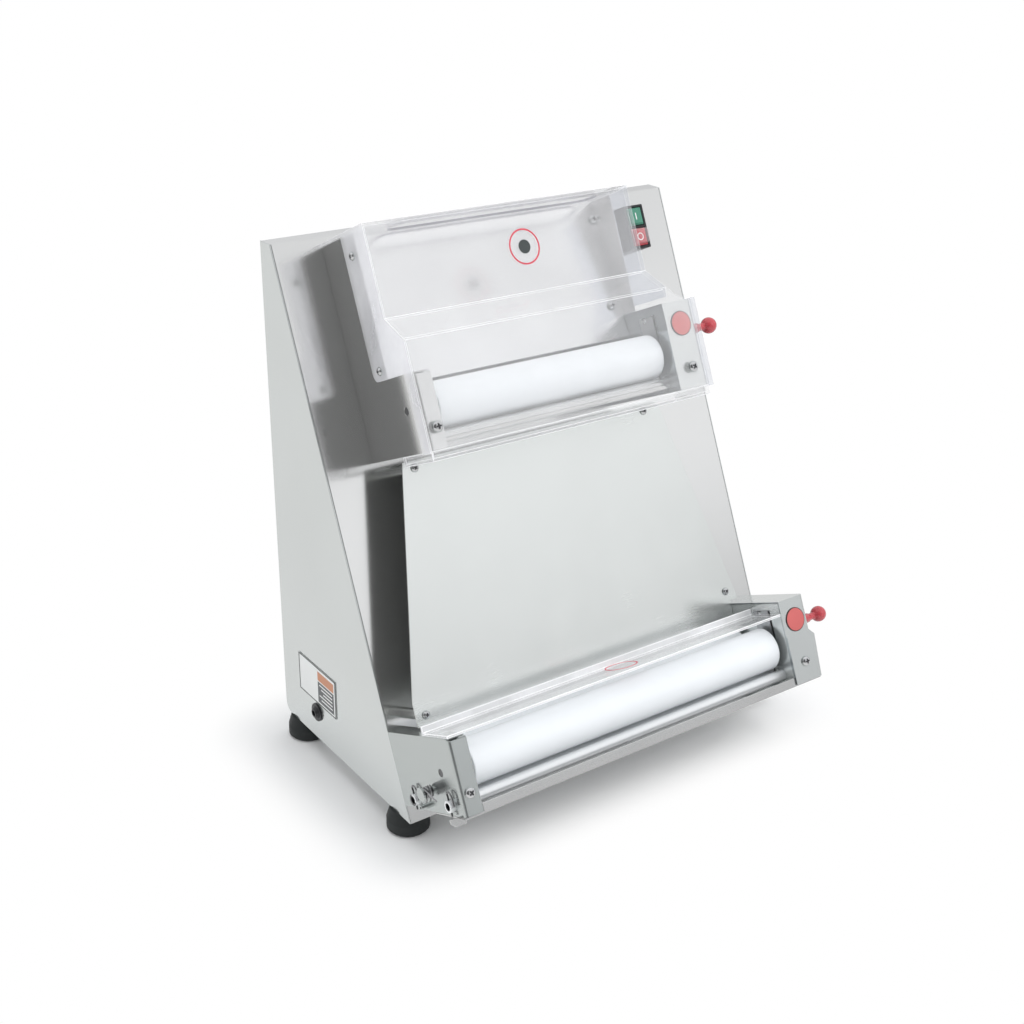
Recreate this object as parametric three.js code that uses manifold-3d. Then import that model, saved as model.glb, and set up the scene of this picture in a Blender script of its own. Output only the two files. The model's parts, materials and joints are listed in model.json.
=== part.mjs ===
// Pizza dough roller machine: a leaning sheet-metal body that carries two roller heads.
// Lengths are in millimetres and angles in radians. +Z is up and the front looks along -Y.
//
// The body's front leans back. Everything on it is placed in a frame of its own, with its origin
// on the front's top edge: x to the right, u down along the front and n straight out of it.
// Each roller head has the same frame moved down to its rollers, where v is measured instead of u.

import * as THREE from 'three';
import { mergeVertices } from 'three/addons/utils/BufferGeometryUtils.js';
import ManifoldModule from 'manifold-3d';

const wasm = await ManifoldModule();
wasm.setup();

// Clearances and counts that every piece shares
const gap = 0.3;
const runningGap = 0.4;
const overrun = 5;
const wideSides = 32;
const shaftSides = 20;
const smallSides = 12;
const arcSteps = 5;
const quarterTurn = Math.PI / 2;

// Body
const bodyWidth = 530;
const bodyHeight = 572;
const bodyTopDepth = 21.4;
const bodyBottomDepth = 282;
const bodySheet = 1.5;
const bodyCornerRadius = 12;
const baseSheet = 2;
const baseUpstand = 10;

// Feet
const footHeight = 28;
const footRadius = 24;
const footTopRadius = 20;
const footChamfer = 3;
const footSideInset = 17;
const footFrontInset = 32;
const footRearInset = 22;

// Back cover and its air slots
const ventCount = 9;
const ventLength = 90;
const ventWidth = 5;
const ventPitch = 13;
const ventHeightShare = 0.28;
const coverScrewInset = 14;

// Left side: rating plate and cable gland
const labelLength = 86;
const labelHeight = 48;
const labelThickness = 0.6;
const labelFromRear = 40.7;
const labelFromBase = 50;
const glandFromRear = 80;
const glandFromBase = 36;
const glandRadius = 8;
const glandBore = 3.6;
const glandNeckRadius = 6;
const glandLength = 9;
const glandInside = 8;
const glandFlange = 3;

// Switch on the front
const switchWidth = 28;
const switchHeight = 52;
const switchDepth = 24;
const switchLeft = 184;
const switchTop = 20;
const switchWall = 3;
const buttonProud = 2;
const buttonDepth = 9;
const buttonTravel = 3;
const buttonGap = 0.5;
const buttonLip = 2;

// Roller heads: the same section for both, set by the roller axis
const upperAxisU = 201.5;
const headPitch = 361.7;
const headFront = 128;
const headBottom = 44.5;
const leftCheekTop = -37;
const leftFlangeTop = -33.5;
const leftCornerCut = 6;
const rightCheekTop = -54.2;
const cheekSheet = 1.5;
const cheekFold = 4.5;
const sightHoleN = 97.5;
const sightHoleRadius = 4.5;
const plateThickness = 8;
const rollerRadius = 25;
const rollerNip = 1.5;
const rollerEndGap = 6;
const frontRollerN = 94.5;
const shaftRadius = 8;
const shaftStub = 3;
const bushWall = 7;
const bushFlange = 2.5;

// Across the machine: where each head's outer and inner cheek faces are
const upperCheeks = { outerLeft: -206.8, innerLeft: -186.2, innerRight: 122.7, outerRight: 164 };
const lowerCheeks = { outerLeft: -265, innerLeft: -243.5, innerRight: 193.4, outerRight: 232.5 };

// Gears: all have the same pitch, so their radii follow their tooth counts
const rollerTeeth = 17;
const driveTeeth = 28;
const gearAddendum = 2.4;
const gearDedendum = 3.1;
const gearWidth = 10;
const gearSideGap = 3.2;
const gearHubRadius = 13;
const toothRootShare = 0.26;
const toothTipShare = 0.12;

// Front roller carriage and the lever that opens the rollers
const carriageHalf = 12;
const carriageTop = -14;
const carriageYokeWidth = 12;
const carriageYokeBottom = 38;
const carriageYokeTop = 31.5;
const carriageTail = -44;
const nipTravel = 3;
const leverN = 92.5;
const leverV = -38;
const leverShaftRadius = 4;
const leverSwing = Math.PI / 3;
const crankPinRadius = 2.5;
const crankDiscRadius = 5.6;
const crankDiscWidth = 2.4;
const leverThickness = 4;
const leverHubRadius = 9;
const indexHoleCount = 5;

// Knob: a spring plunger with a ball end on the lever
const knobN = 108;
const knobV = -20.3;
const knobPinRadius = 3;
const knobSleeveRadius = 6.5;
const knobSleeveLength = 20;
const knobSleeveGap = 1;
const knobNeckRadius = 4;
const knobBallRadius = 9.5;
const knobBallReach = 35.5;

// Scrapers: a tube with a blade along it under each roller
const scraperTubeRadius = 6.5;
const scraperTubeBore = 4.2;
const scraperBlade = 1.4;
const frontScraperN = 106.5;
const rearScraperN = 33;
const scraperV = 33;
const scraperTipBelow = 25.8;
const scraperTipPast = 3;
const scraperSeat = 4.5;
const scraperTipEdge = 0.5;
const scraperTubeOut = 6;
const clipWire = 0.9;
const clipHoleGap = 0.4;
const clipFromEnd = 2.8;
const clipLegBelow = 3;
const clipLegAbove = 12;
const clipBow = 5;

// Torsion spring that pulls the lower scrapers on to their rollers
const springWire = 0.8;
const springTurns = 4.25;
const springRadius = 6;
const springPitch = 2.4;
const springN = 73;
const springV = 20;
const springStart = 2.5;
const springStepsPerTurn = 8;
const springSides = 5;
const springLeastGap = 0.4;
const springPinRadius = 4;
const springPinHead = 2;
const springPinHeadRadius = 7.6;
const springStopN = 51;
const springStopV = 39;
const springStopRadius = 3;
const springStopLength = 9;

// Infeed chamber over the upper head
const infeedTop = 11.3;
const infeedDepth = 75;
const infeedSheet = 1.5;
const infeedWallInset = 3.8;
const infeedTopN = 36;
const infeedFootN = 60;
const infeedFootU = 172;

// Clear hood
const hoodWall = 3;
const hoodTop = 8;
const hoodRear = 52;
const hoodRightRear = 20;
const hoodFront = 103;
const hoodUpperBend = 106;
const hoodLowerBend = 131;
const hoodSideBottom = 165;
const hoodSideCorner = 8;
const hoodWrap = 17;
const hoodRightWrap = 9;
const hoodShoulder = 141;
const hoodFlareStart = 11;
const hoodFlareTop = 147;
const hoodBottom = 248;
const slotLength = 272;
const slotWidth = 35;
const slotCentreX = -20;
const slotCentreN = 60;
const slotEndSteps = 8;

// Clear trays under the heads and the clear guard over the lower head
const trayWall = 3;
const trayRear = 67;
const trayDrop = 11;
const lowerTrayLip = 8.5;
const trayEarN = 111;
const trayEarWidth = 18;
const trayEarOut = 10;
const trayEarDrop = 9;
const trayEarCorner = 5;
const guardRear = 76;
const guardFlange = 7;

// Chute between the heads
const chuteSheet = 1.5;
const chuteFace = 45;
const chuteTop = 252;
const chuteTopLeft = -197;
const chuteTopRight = 151;
const chuteKnee = 498;
const chuteLeft = -251;
const chuteRight = 204;
const chuteBottom = 524;
const chuteNotch = 505;
const chuteStudRadius = 6;
const chuteScrewTop = 260;
const chuteScrewTopLeft = -184;
const chuteScrewTopRight = 128.5;
const chuteScrewBottomLeft = -239;
const chuteScrewBottomLeftU = 513;
const chuteScrewBottomRight = 189;
const chuteScrewBottomRightU = 493;
const chuteScrews = [
  { x: chuteScrewTopLeft, u: chuteScrewTop },
  { x: chuteScrewTopRight, u: chuteScrewTop },
  { x: chuteScrewBottomLeft, u: chuteScrewBottomLeftU },
  { x: chuteScrewBottomRight, u: chuteScrewBottomRightU },
];

// Pan-head screws and the plain red discs on the cheeks
const screwRadius = 4.6;
const screwHeight = 3;
const screwCrownShare = 0.55;
const washerRadius = 6.2;
const washerHeight = 1;
const smallScrewShare = 0.75;
const cheekScrewV = 21.6;
const cheekScrewInset = 11;
const hoodScrewN = { left: 69, right: 29 };
const hoodScrewTop = 34.6;
const hoodScrewBottom = 155;
const discRadius = 14;
const discThickness = 0.6;
const discV = -28.6;
const endCapTop = -12.6;
const endCapSheet = 2;
const endCapOverhang = 3;
const endCapCorner = 7;

// Drive inside the body: gearmotor, belt, two drive shafts and a chain
const driveRadius = 8;
const sprocketRadius = 15;
const sprocketWidth = 6;
const sprocketLeft = 60;
const chainThickness = 4;
const pulleyRadius = 18;
const pulleyWidth = 18;
const pulleyLeft = 80;
const pulleyFlange = 2;
const pulleyFlangeRise = 2.5;
const beltThickness = 3;
const blockWidth = 14;
const blockHalfHeight = 18;
const blockWall = 8;
const blockFoot = 4;
const upperBlockLefts = [78, 106];
const lowerBlockLefts = [106, 178];
const motorRadius = 50;
const motorLength = 130;
const motorBellLength = 12;
const motorBellShare = 0.72;
const motorFromRear = 112;
const motorFromBase = 17;
const gearboxLength = 60;
const gearboxHalf = 42;
const gearboxRight = 52;
const terminalLength = 60;
const terminalWidth = 44;
const terminalHeight = 24;
const cradleWidth = 14;
const cradleSpread = 80;
const cradleDepth = 84;
const cradleHeight = 34;
const cradleFoot = 4;

// Values that follow from the sizes above
const slope = Math.atan2(bodyBottomDepth - bodyTopDepth, bodyHeight);
const frontLength = Math.hypot(bodyHeight, bodyBottomDepth - bodyTopDepth);
const bodyBase = footHeight;
const bodyTop = bodyBase + bodyHeight;
const halfWidth = bodyWidth / 2;
const rollerSpacing = 2 * rollerRadius + rollerNip;
const rearRollerN = frontRollerN - rollerSpacing;
const toothPitchRadius = rollerSpacing / 2 / rollerTeeth;
const driveSpacing = toothPitchRadius * (rollerTeeth + driveTeeth);
const driveN = rearRollerN - driveSpacing;
const lowerAxisU = upperAxisU + headPitch;
const hoodPanelBack = headFront + gap + discThickness + gap;
const hoodPanelFront = hoodPanelBack + hoodWall;
const outOfFront = new THREE.Vector3(0, -1, 0);

const steel = new THREE.Color(0xcfd3d0);
const finishes = {
  stainless: metalFinish(steel, 0.35),
  bright: metalFinish(0xdfe3e4, 0.18),
  gear: metalFinish(0x8f9498, 0.45),
  dark: plasticFinish(0x2f3436, 0.6),
  rubber: plasticFinish(0x262a2a, 0.9),
  white: plasticFinish(0xf2f4f6, 0.35),
  red: plasticFinish(0xc7414b, 0.3),
  green: plasticFinish(0x2f8f6b, 0.35),
  label: plasticFinish(0xe8e8e4, 0.5),
  motor: plasticFinish(0x55606a, 0.5),
  clear: clearFinish(0xe4ecee, 0.1),
};

const machine = new THREE.Group();
const slanted = new THREE.Group();
slanted.position.set(0, -bodyTopDepth, bodyTop);
slanted.rotation.x = -slope;
machine.add(slanted);

buildBody();
buildSwitch();
const upper = { prefix: 'upper', axisU: upperAxisU, ...upperCheeks, tubeOut: -gap - cheekSheet };
const lower = { prefix: 'lower', axisU: lowerAxisU, ...lowerCheeks, tubeOut: scraperTubeOut };
const upperHead = buildHead(upper);
const lowerHead = buildHead(lower);
buildInfeed();
buildHood();
buildUpperTray(upperHead);
buildLowerGuard(lowerHead);
buildLowerTray(lowerHead);
buildScraperClips(lowerHead);
buildScraperSpring(lowerHead);
buildChute();
buildDrive();
buildDiscs();
standOnOrigin();

// Materials

function metalFinish(color, roughness) {
  return new THREE.MeshStandardMaterial({ color, roughness, metalness: 1, flatShading: true });
}

function plasticFinish(color, roughness) {
  return new THREE.MeshStandardMaterial({ color, roughness, metalness: 0, flatShading: true });
}

function clearFinish(color, roughness) {
  const look = { color, roughness, metalness: 0, transparent: true, opacity: 0.3 };
  return new THREE.MeshStandardMaterial({ ...look, flatShading: true });
}

// Solids

function toSolid(geometry) {
  geometry.deleteAttribute('normal');
  geometry.deleteAttribute('uv');
  const welded = mergeVertices(geometry);
  const vertProperties = new Float32Array(welded.attributes.position.array);
  const triVerts = new Uint32Array(welded.index.array);
  return new wasm.Manifold(new wasm.Mesh({ numProp: 3, vertProperties, triVerts }));
}

function toGeometry(solid) {
  const mesh = solid.getMesh();
  const geometry = new THREE.BufferGeometry();
  geometry.setAttribute('position', new THREE.BufferAttribute(mesh.vertProperties, 3));
  geometry.setIndex(new THREE.BufferAttribute(mesh.triVerts, 1));
  geometry.computeVertexNormals();
  return geometry;
}

function join(...solids) {
  return solids.reduce((whole, part) => whole.add(part));
}

function addPiece(parent, name, solid, material) {
  const mesh = new THREE.Mesh(toGeometry(solid), material);
  mesh.name = name;
  parent.add(mesh);
  return mesh;
}

// A box between two corners
function blockBetween(low, high) {
  const size = new THREE.Vector3().subVectors(high, low);
  const middle = new THREE.Vector3().addVectors(high, low).multiplyScalar(1 / 2);
  const geometry = new THREE.BoxGeometry(size.x, size.y, size.z);
  return toSolid(geometry.translate(middle.x, middle.y, middle.z));
}

// A box in a leaning frame, from ranges of x, of the way down and of the way out
function slab([x0, x1], [v0, v1], [n0, n1]) {
  return blockBetween(new THREE.Vector3(x0, -n1, -v1), new THREE.Vector3(x1, -n0, -v0));
}

function shapeOf(points) {
  return new THREE.Shape(points.map(([a, b]) => new THREE.Vector2(a, b)));
}

// An outline of [y, z] points, swept along x
function prism(points, x0, x1) {
  const geometry = new THREE.ExtrudeGeometry(shapeOf(points), { depth: x1 - x0, bevelEnabled: false });
  const turn = new THREE.Matrix4().makeBasis(
    new THREE.Vector3(0, 1, 0), new THREE.Vector3(0, 0, 1), new THREE.Vector3(1, 0, 0));
  return toSolid(geometry.applyMatrix4(turn).translate(x0, 0, 0));
}

// An outline of [n, v] points in a leaning frame, swept along x
function leaningPrism(points, x0, x1) {
  return prism(points.map(([n, v]) => [-n, -v]), x0, x1);
}

// An outline of [x, v] points in a leaning frame, from n0 out to n1
function leaningPlate(points, n0, n1) {
  const outline = shapeOf(points.map(([x, v]) => [x, -v]));
  const geometry = new THREE.ExtrudeGeometry(outline, { depth: n1 - n0, bevelEnabled: false });
  return toSolid(geometry.rotateX(quarterTurn).translate(0, -n0, 0));
}

// An outline of [x, n] points in a leaning frame, from v0 down to v1
function leaningSill(points, v0, v1) {
  const outline = shapeOf(points.map(([x, n]) => [x, -n]));
  const geometry = new THREE.ExtrudeGeometry(outline, { depth: v1 - v0, bevelEnabled: false });
  return toSolid(geometry.translate(0, 0, -v1));
}

function rodAlongX(radius, x0, x1, y, z, sides) {
  const geometry = new THREE.CylinderGeometry(radius, radius, x1 - x0, sides);
  return toSolid(geometry.rotateZ(quarterTurn).translate((x0 + x1) / 2, y, z));
}

function leaningRod(radius, x0, x1, n, v, sides = shaftSides) {
  return rodAlongX(radius, x0, x1, -n, -v, sides);
}

// The radius of a faceted hole whose flats clear a round rod by the given gap
function holeRadius(rodRadius, clearance, sides = shaftSides) {
  return (rodRadius + clearance) / Math.cos(Math.PI / sides);
}

// A turned solid: [radius, height] points spun round an axis that points along aim
function turned(profile, aim, place, sides = smallSides) {
  const points = profile.map(([radius, height]) => new THREE.Vector2(radius, height));
  const geometry = new THREE.LatheGeometry(points, sides);
  const turn = new THREE.Quaternion().setFromUnitVectors(new THREE.Vector3(0, 1, 0), aim);
  return toSolid(geometry.applyQuaternion(turn).translate(place.x, place.y, place.z));
}

// A bent strip: a line of points thickened to its left by the given amount, with mitred bends
function ribbon(points, thickness) {
  const path = points.map(([a, b]) => new THREE.Vector2(a, b));
  const normals = path.slice(1).map((point, i) => {
    const along = point.clone().sub(path[i]).normalize();
    return new THREE.Vector2(-along.y, along.x);
  });
  const far = path.map((point, i) => {
    const before = normals[Math.max(i - 1, 0)];
    const after = normals[Math.min(i, normals.length - 1)];
    const middle = before.clone().add(after).normalize();
    return point.clone().addScaledVector(middle, thickness / middle.dot(before));
  });
  return [...path, ...far.reverse()].map((point) => [point.x, point.y]);
}

function arcPoints(centre, radius, from, to, steps = arcSteps) {
  return Array.from({ length: steps + 1 }, (unused, i) => {
    const angle = from + (to - from) * i / steps;
    return [centre[0] + radius * Math.cos(angle), centre[1] + radius * Math.sin(angle)];
  });
}

// The outline of a belt or chain round two circles
function loopOutline(first, firstRadius, second, secondRadius) {
  const along = Math.atan2(second[1] - first[1], second[0] - first[0]);
  const distance = Math.hypot(second[1] - first[1], second[0] - first[0]);
  const spread = Math.acos((firstRadius - secondRadius) / distance);
  return [
    ...arcPoints(first, firstRadius, along + spread, along + 2 * Math.PI - spread, shaftSides / 2),
    ...arcPoints(second, secondRadius, along - spread, along + spread, shaftSides / 2),
  ];
}

function wireAlong(curve, radius, sides, steps) {
  const section = new THREE.Shape(arcPoints([0, 0], radius, 0, 2 * Math.PI, sides)
    .slice(0, sides).map(([a, b]) => new THREE.Vector2(a, b)));
  return toSolid(new THREE.ExtrudeGeometry(section, { steps, extrudePath: curve }));
}

// Where a point of the leaning front lies in the upright frame
function frontPoint(u, n) {
  return {
    y: -bodyTopDepth - u * Math.sin(slope) - n * Math.cos(slope),
    z: bodyTop - u * Math.cos(slope) + n * Math.sin(slope),
  };
}

// Body

function buildBody() {
  addPiece(machine, 'left_side_panel', sidePanel(-halfWidth).subtract(glandHole()), finishes.stainless);
  addPiece(machine, 'right_side_panel', sidePanel(halfWidth - bodySheet), finishes.stainless);
  addPiece(slanted, 'front_panel', frontPanel(), finishes.stainless);
  addPiece(machine, 'back_cover', backCover(), finishes.stainless);
  addPiece(machine, 'base_plate', basePlate(), finishes.stainless);
  addFeet();
  addPiece(machine, 'side_label', sideLabel(), finishes.label);
  addPiece(machine, 'cable_gland', cableGland(), finishes.dark);
}

function sidePanel(x) {
  const corner = [-bodyCornerRadius, bodyBase + bodyCornerRadius];
  const outline = [
    [0, bodyTop],
    [-bodyTopDepth, bodyTop],
    [-bodyBottomDepth, bodyBase],
    ...arcPoints(corner, bodyCornerRadius, -quarterTurn, 0),
  ];
  return prism(outline, x, x + bodySheet);
}

function innerSpan() {
  return [-halfWidth + bodySheet + gap, halfWidth - bodySheet - gap];
}

// One folded sheet makes the leaning front and the narrow top
function frontPanel() {
  const topEdge = bodyTopDepth - bodySheet - gap;
  const fold = [
    [0, frontLength],
    [0, 0],
    [-topEdge * Math.cos(slope), -topEdge * Math.sin(slope)],
  ];
  const sheet = leaningPrism(ribbon(fold, -bodySheet), ...innerSpan());
  const windows = [[upperCheeks, upperAxisU], [lowerCheeks, lowerAxisU]].map(([cheeks, axisU]) => {
    const left = gearLeft(cheeks) - gearSideGap;
    const reach = driveTeeth * toothPitchRadius + gearAddendum;
    const half = Math.sqrt(reach ** 2 - driveN ** 2) + gearAddendum;
    return slab([left, left + gearWidth + 2 * gearSideGap], [axisU - half, axisU + half],
      [-overrun, overrun]);
  });
  return sheet.subtract(join(...windows));
}

function coverBottom() {
  return bodyBase + bodyCornerRadius + baseUpstand + gap;
}

function coverTop() {
  return bodyTop - bodySheet - gap;
}

function backCover() {
  const [left, right] = innerSpan();
  const sheet = blockBetween(new THREE.Vector3(left, -bodySheet, coverBottom()),
    new THREE.Vector3(right, 0, coverTop() + bodySheet));
  const slots = [-1, 1].flatMap((side) => Array.from({ length: ventCount }, (unused, i) => {
    const x = side * bodyWidth / 5;
    const z = bodyBase + bodyHeight * ventHeightShare + (i - (ventCount - 1) / 2) * ventPitch;
    return blockBetween(new THREE.Vector3(x - ventLength / 2, -overrun, z - ventWidth / 2),
      new THREE.Vector3(x + ventLength / 2, overrun, z + ventWidth / 2));
  }));
  return join(sheet.subtract(join(...slots)), ...backScrews());
}

// The base turns up round the rear corner to meet the back cover
function basePlate() {
  const frontEdge = bodyBottomDepth - (bodySheet + gap) / Math.cos(slope) - baseSheet * Math.tan(slope);
  const corner = [-bodyCornerRadius, bodyBase + bodyCornerRadius];
  const outline = [
    [-frontEdge, bodyBase],
    ...arcPoints(corner, bodyCornerRadius, -quarterTurn, 0),
    [0, bodyBase + bodyCornerRadius + baseUpstand],
  ];
  return prism(ribbon(outline, baseSheet), ...innerSpan());
}

function addFeet() {
  const profile = [
    [0, 0],
    [footRadius - footChamfer, 0],
    [footRadius, footChamfer],
    [footRadius, footHeight / 2],
    [footTopRadius, footHeight - gap],
    [0, footHeight - gap],
  ];
  const x = halfWidth - footSideInset;
  const front = footFrontInset - bodyBottomDepth;
  const places = {
    foot_front_left: [-x, front],
    foot_front_right: [x, front],
    foot_rear_left: [-x, -footRearInset],
    foot_rear_right: [x, -footRearInset],
  };
  Object.entries(places).forEach(([name, [footX, footY]]) => {
    const up = new THREE.Vector3(0, 0, 1);
    addPiece(machine, name, turned(profile, up, new THREE.Vector3(footX, footY, 0), shaftSides),
      finishes.rubber);
  });
}

function sideLabel() {
  const outside = -halfWidth - gap;
  const low = new THREE.Vector3(outside - labelThickness, -labelFromRear - labelLength,
    bodyBase + labelFromBase);
  const high = new THREE.Vector3(outside, -labelFromRear, bodyBase + labelFromBase + labelHeight);
  return blockBetween(low, high);
}

function glandPlace() {
  return new THREE.Vector3(-halfWidth, -glandFromRear, bodyBase + glandFromBase);
}

function glandHole() {
  const { x, y, z } = glandPlace();
  return rodAlongX(glandNeckRadius + gap, x - overrun, x + overrun, y, z, smallSides);
}

// The gland is left empty: a collar outside, a neck through the panel and a nut inside
function cableGland() {
  const inner = bodySheet + gap;
  const profile = [
    [glandBore, -glandInside],
    [glandRadius, -glandInside],
    [glandRadius, -inner],
    [glandNeckRadius, -inner],
    [glandNeckRadius, gap],
    [glandRadius + glandFlange, gap],
    [glandRadius + glandFlange, gap + glandFlange],
    [glandRadius, gap + glandFlange],
    [glandBore + glandFlange / 2, glandLength],
    [glandBore, glandLength],
    [glandBore, -glandInside],
  ];
  return turned(profile, new THREE.Vector3(-1, 0, 0), glandPlace());
}

// Switch

function buildSwitch() {
  const outer = { x: [switchLeft, switchLeft + switchWidth], u: [switchTop, switchTop + switchHeight] };
  const wellWidth = [outer.x[0] + switchWall, outer.x[1] - switchWall];
  const wellHeight = (switchHeight - 3 * switchWall) / 2;
  const tops = [0, 1].map((i) => switchTop + switchWall + i * (wellHeight + switchWall));
  const wellFloor = switchDepth - buttonDepth - buttonTravel - gap;
  const wells = tops.map((top) =>
    slab(wellWidth, [top, top + wellHeight], [wellFloor, switchDepth + overrun]));
  const housing = slab(outer.x, outer.u, [gap, switchDepth]).subtract(join(...wells));
  addPiece(slanted, 'switch_housing', housing, finishes.dark);
  const names = ['switch_on_button', 'switch_off_button'];
  const looks = [finishes.green, finishes.red];
  names.forEach((name, i) => {
    const button = switchButton(wellWidth, [tops[i], tops[i] + wellHeight]);
    addPiece(slanted, name, button, looks[i]);
  });
}

// A button is a block with a narrower raised face
function switchButton([x0, x1], [u0, u1]) {
  const body = slab([x0 + buttonGap, x1 - buttonGap], [u0 + buttonGap, u1 - buttonGap],
    [switchDepth - buttonDepth, switchDepth]);
  const face = slab([x0 + buttonLip, x1 - buttonLip], [u0 + buttonLip, u1 - buttonLip],
    [switchDepth - buttonDepth / 2, switchDepth + buttonProud]);
  return join(body, face);
}

// Roller heads

function gearLeft(cheeks) {
  return cheeks.innerRight + plateThickness + gearSideGap + gap;
}

function buildHead(head) {
  const frame = new THREE.Group();
  frame.position.set(0, 0, -head.axisU);
  slanted.add(frame);
  const add = (name, solid, finish) => addPiece(frame, `${head.prefix}_${name}`, solid, finish);
  add('left_side_plate', leftSidePlate(head), finishes.stainless);
  add('left_bearing_plate', bearingPlate(head, 'left'), finishes.stainless);
  add('right_bearing_plate', bearingPlate(head, 'right'), finishes.stainless);
  add('gear_cover', gearCover(head), finishes.stainless);
  add('rear_roller', roller(head, rearRollerN), finishes.white);
  add('rear_shaft', rollerShaft(head, rearRollerN), finishes.gear);
  add('roller_carriage', rollerCarriage(head), finishes.gear);
  add('front_roller', roller(head, frontRollerN), finishes.white);
  add('front_shaft', rollerShaft(head, frontRollerN), finishes.gear);
  add('gap_lever', join(gapShaft(head), gapArm(head)), finishes.bright);
  add('gap_knob', gapKnob(head), finishes.red);
  add('front_scraper', frontScraper(head), finishes.bright);
  add('rear_scraper', rearScraper(head), finishes.bright);
  return frame;
}

// The fold line of a cheek as [x, n] points, with a soft bend at the front
function cheekFoldLine(outer, inner) {
  const inward = Math.sign(inner - outer);
  const centre = [outer + inward * cheekFold, headFront - cheekFold];
  const bend = arcPoints(centre, cheekFold, Math.PI, quarterTurn);
  const turnedBend = bend.map(([x, n]) => [inward > 0 ? x : 2 * centre[0] - x, n]);
  return [[outer, gap], ...turnedBend, [inner, headFront]];
}

// The left cheek: one sheet folded into an outer wall, a front flange and a top flange.
// The upper one also walls the infeed; the lower one has holes for the scraper tubes.
function leftSidePlate(head) {
  const across = [head.outerLeft, head.outerLeft + cheekSheet];
  const line = cheekFoldLine(head.outerLeft, head.innerLeft);
  const folded = leaningSill(ribbon(line, -cheekSheet), leftCheekTop, headBottom);
  const lid = leaningSill([...line, [head.innerLeft, gap]], leftCheekTop, leftCheekTop + cheekSheet);
  const sight = leaningRod(sightHoleRadius, head.outerLeft - overrun, across[1] + overrun,
    sightHoleN, 0, smallSides);
  const corner = leaningPrism([
    [headFront - leftCornerCut, leftCheekTop],
    [headFront - leftCornerCut, leftCheekTop - overrun],
    [headFront + overrun, leftCheekTop - overrun],
    [headFront + overrun, leftFlangeTop],
    [headFront, leftFlangeTop],
  ], head.outerLeft - overrun, head.innerLeft + overrun);
  const cheek = join(folded, lid).subtract(join(corner, sight));
  if (head.axisU === upperAxisU) {
    const infeedWall = slab(across, [infeedTop - head.axisU, leftCheekTop + cheekSheet], [gap, infeedDepth]);
    return cheek.add(infeedWall);
  }
  const holes = scraperTubePlaces().map(([n, v]) => leaningRod(
    holeRadius(scraperTubeRadius, runningGap), head.outerLeft - overrun, across[1] + overrun, n, v));
  const screw = screwHead(new THREE.Vector3(head.outerLeft + cheekScrewInset, -headFront, -cheekScrewV),
    outOfFront);
  return join(cheek.subtract(join(...holes)), springPins(), screw);
}

function scraperTubePlaces() {
  return [[frontScraperN, scraperV], [rearScraperN, scraperV]];
}

function carriageOutline(top, clearance) {
  const front = frontRollerN + carriageHalf + (clearance ? nipTravel : 0);
  const rear = frontRollerN - carriageHalf;
  const yokeFront = rear + carriageYokeWidth + (clearance ? nipTravel : 0);
  return [
    [rear - clearance, top - clearance],
    [front + clearance, top - clearance],
    [front + clearance, -carriageTop + clearance],
    [yokeFront + clearance, -carriageTop + clearance],
    [yokeFront + clearance, carriageYokeBottom + clearance],
    [rear - clearance, carriageYokeBottom + clearance],
  ];
}

function plateSpans(head) {
  return {
    left: [head.innerLeft - plateThickness - gap, head.innerLeft - gap],
    right: [head.innerRight + gap, head.innerRight + gap + plateThickness],
  };
}

// A thick plate carries the rollers' ends: a bush for the fixed one and a slot for the sliding one
function bearingPlate(head, side) {
  const [x0, x1] = plateSpans(head)[side];
  const isLeft = side === 'left';
  const top = (isLeft ? leftCheekTop : rightCheekTop) + cheekSheet + gap;
  const plate = slab([x0, x1], [top, headBottom - cheekSheet - gap], [gap, headFront - cheekSheet - gap]);
  const slot = leaningPrism(carriageOutline(isLeft ? carriageTop : carriageTail, gap), x0 - overrun,
    x1 + overrun);
  const bush = leaningRod(shaftRadius + bushWall, isLeft ? x0 - bushFlange : x0,
    isLeft ? x1 : x1 + bushFlange, rearRollerN, 0);
  const bore = leaningRod(holeRadius(shaftRadius, runningGap), x0 - overrun, x1 + overrun, rearRollerN, 0);
  const tubes = scraperTubePlaces().map(([n, v]) => leaningRod(
    holeRadius(scraperTubeRadius, runningGap), x0 - overrun, x1 + overrun, n, v));
  return join(plate, bush).subtract(join(slot, bore, ...tubes));
}

function knobReach() {
  return Math.hypot(knobN - leverN, knobV - leverV);
}

// The lever turns about its shaft, so the index holes lie on the knob's arc
function knobArcPlace(turn) {
  const start = Math.atan2(knobV - leverV, knobN - leverN);
  return [leverN + knobReach() * Math.cos(start + turn), leverV + knobReach() * Math.sin(start + turn)];
}

// A box of folded sheet over the gears, open to the body and to the bearing plate
function gearCover(head) {
  const inside = head.outerRight - cheekSheet;
  const line = cheekFoldLine(head.outerRight, head.innerRight);
  const outer = leaningSill([...line, [head.innerRight, gap]], rightCheekTop, headBottom);
  const hollow = slab([head.innerRight - overrun, inside],
    [rightCheekTop + cheekSheet, headBottom - cheekSheet], [-overrun, headFront - cheekSheet]);
  const shaftHole = leaningRod(holeRadius(leverShaftRadius, runningGap), inside - overrun,
    head.outerRight + overrun, leverN, leverV);
  const indexHoles = Array.from({ length: indexHoleCount }, (unused, i) => {
    const [n, v] = knobArcPlace(leverSwing * i / (indexHoleCount - 1));
    return leaningRod(knobPinRadius + runningGap, inside - overrun, head.outerRight + overrun, n, v,
      smallSides);
  });
  const cover = outer.subtract(join(hollow, shaftHole, ...indexHoles));
  return head.axisU === upperAxisU ? cover : cover.add(endCap(head));
}

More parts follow.
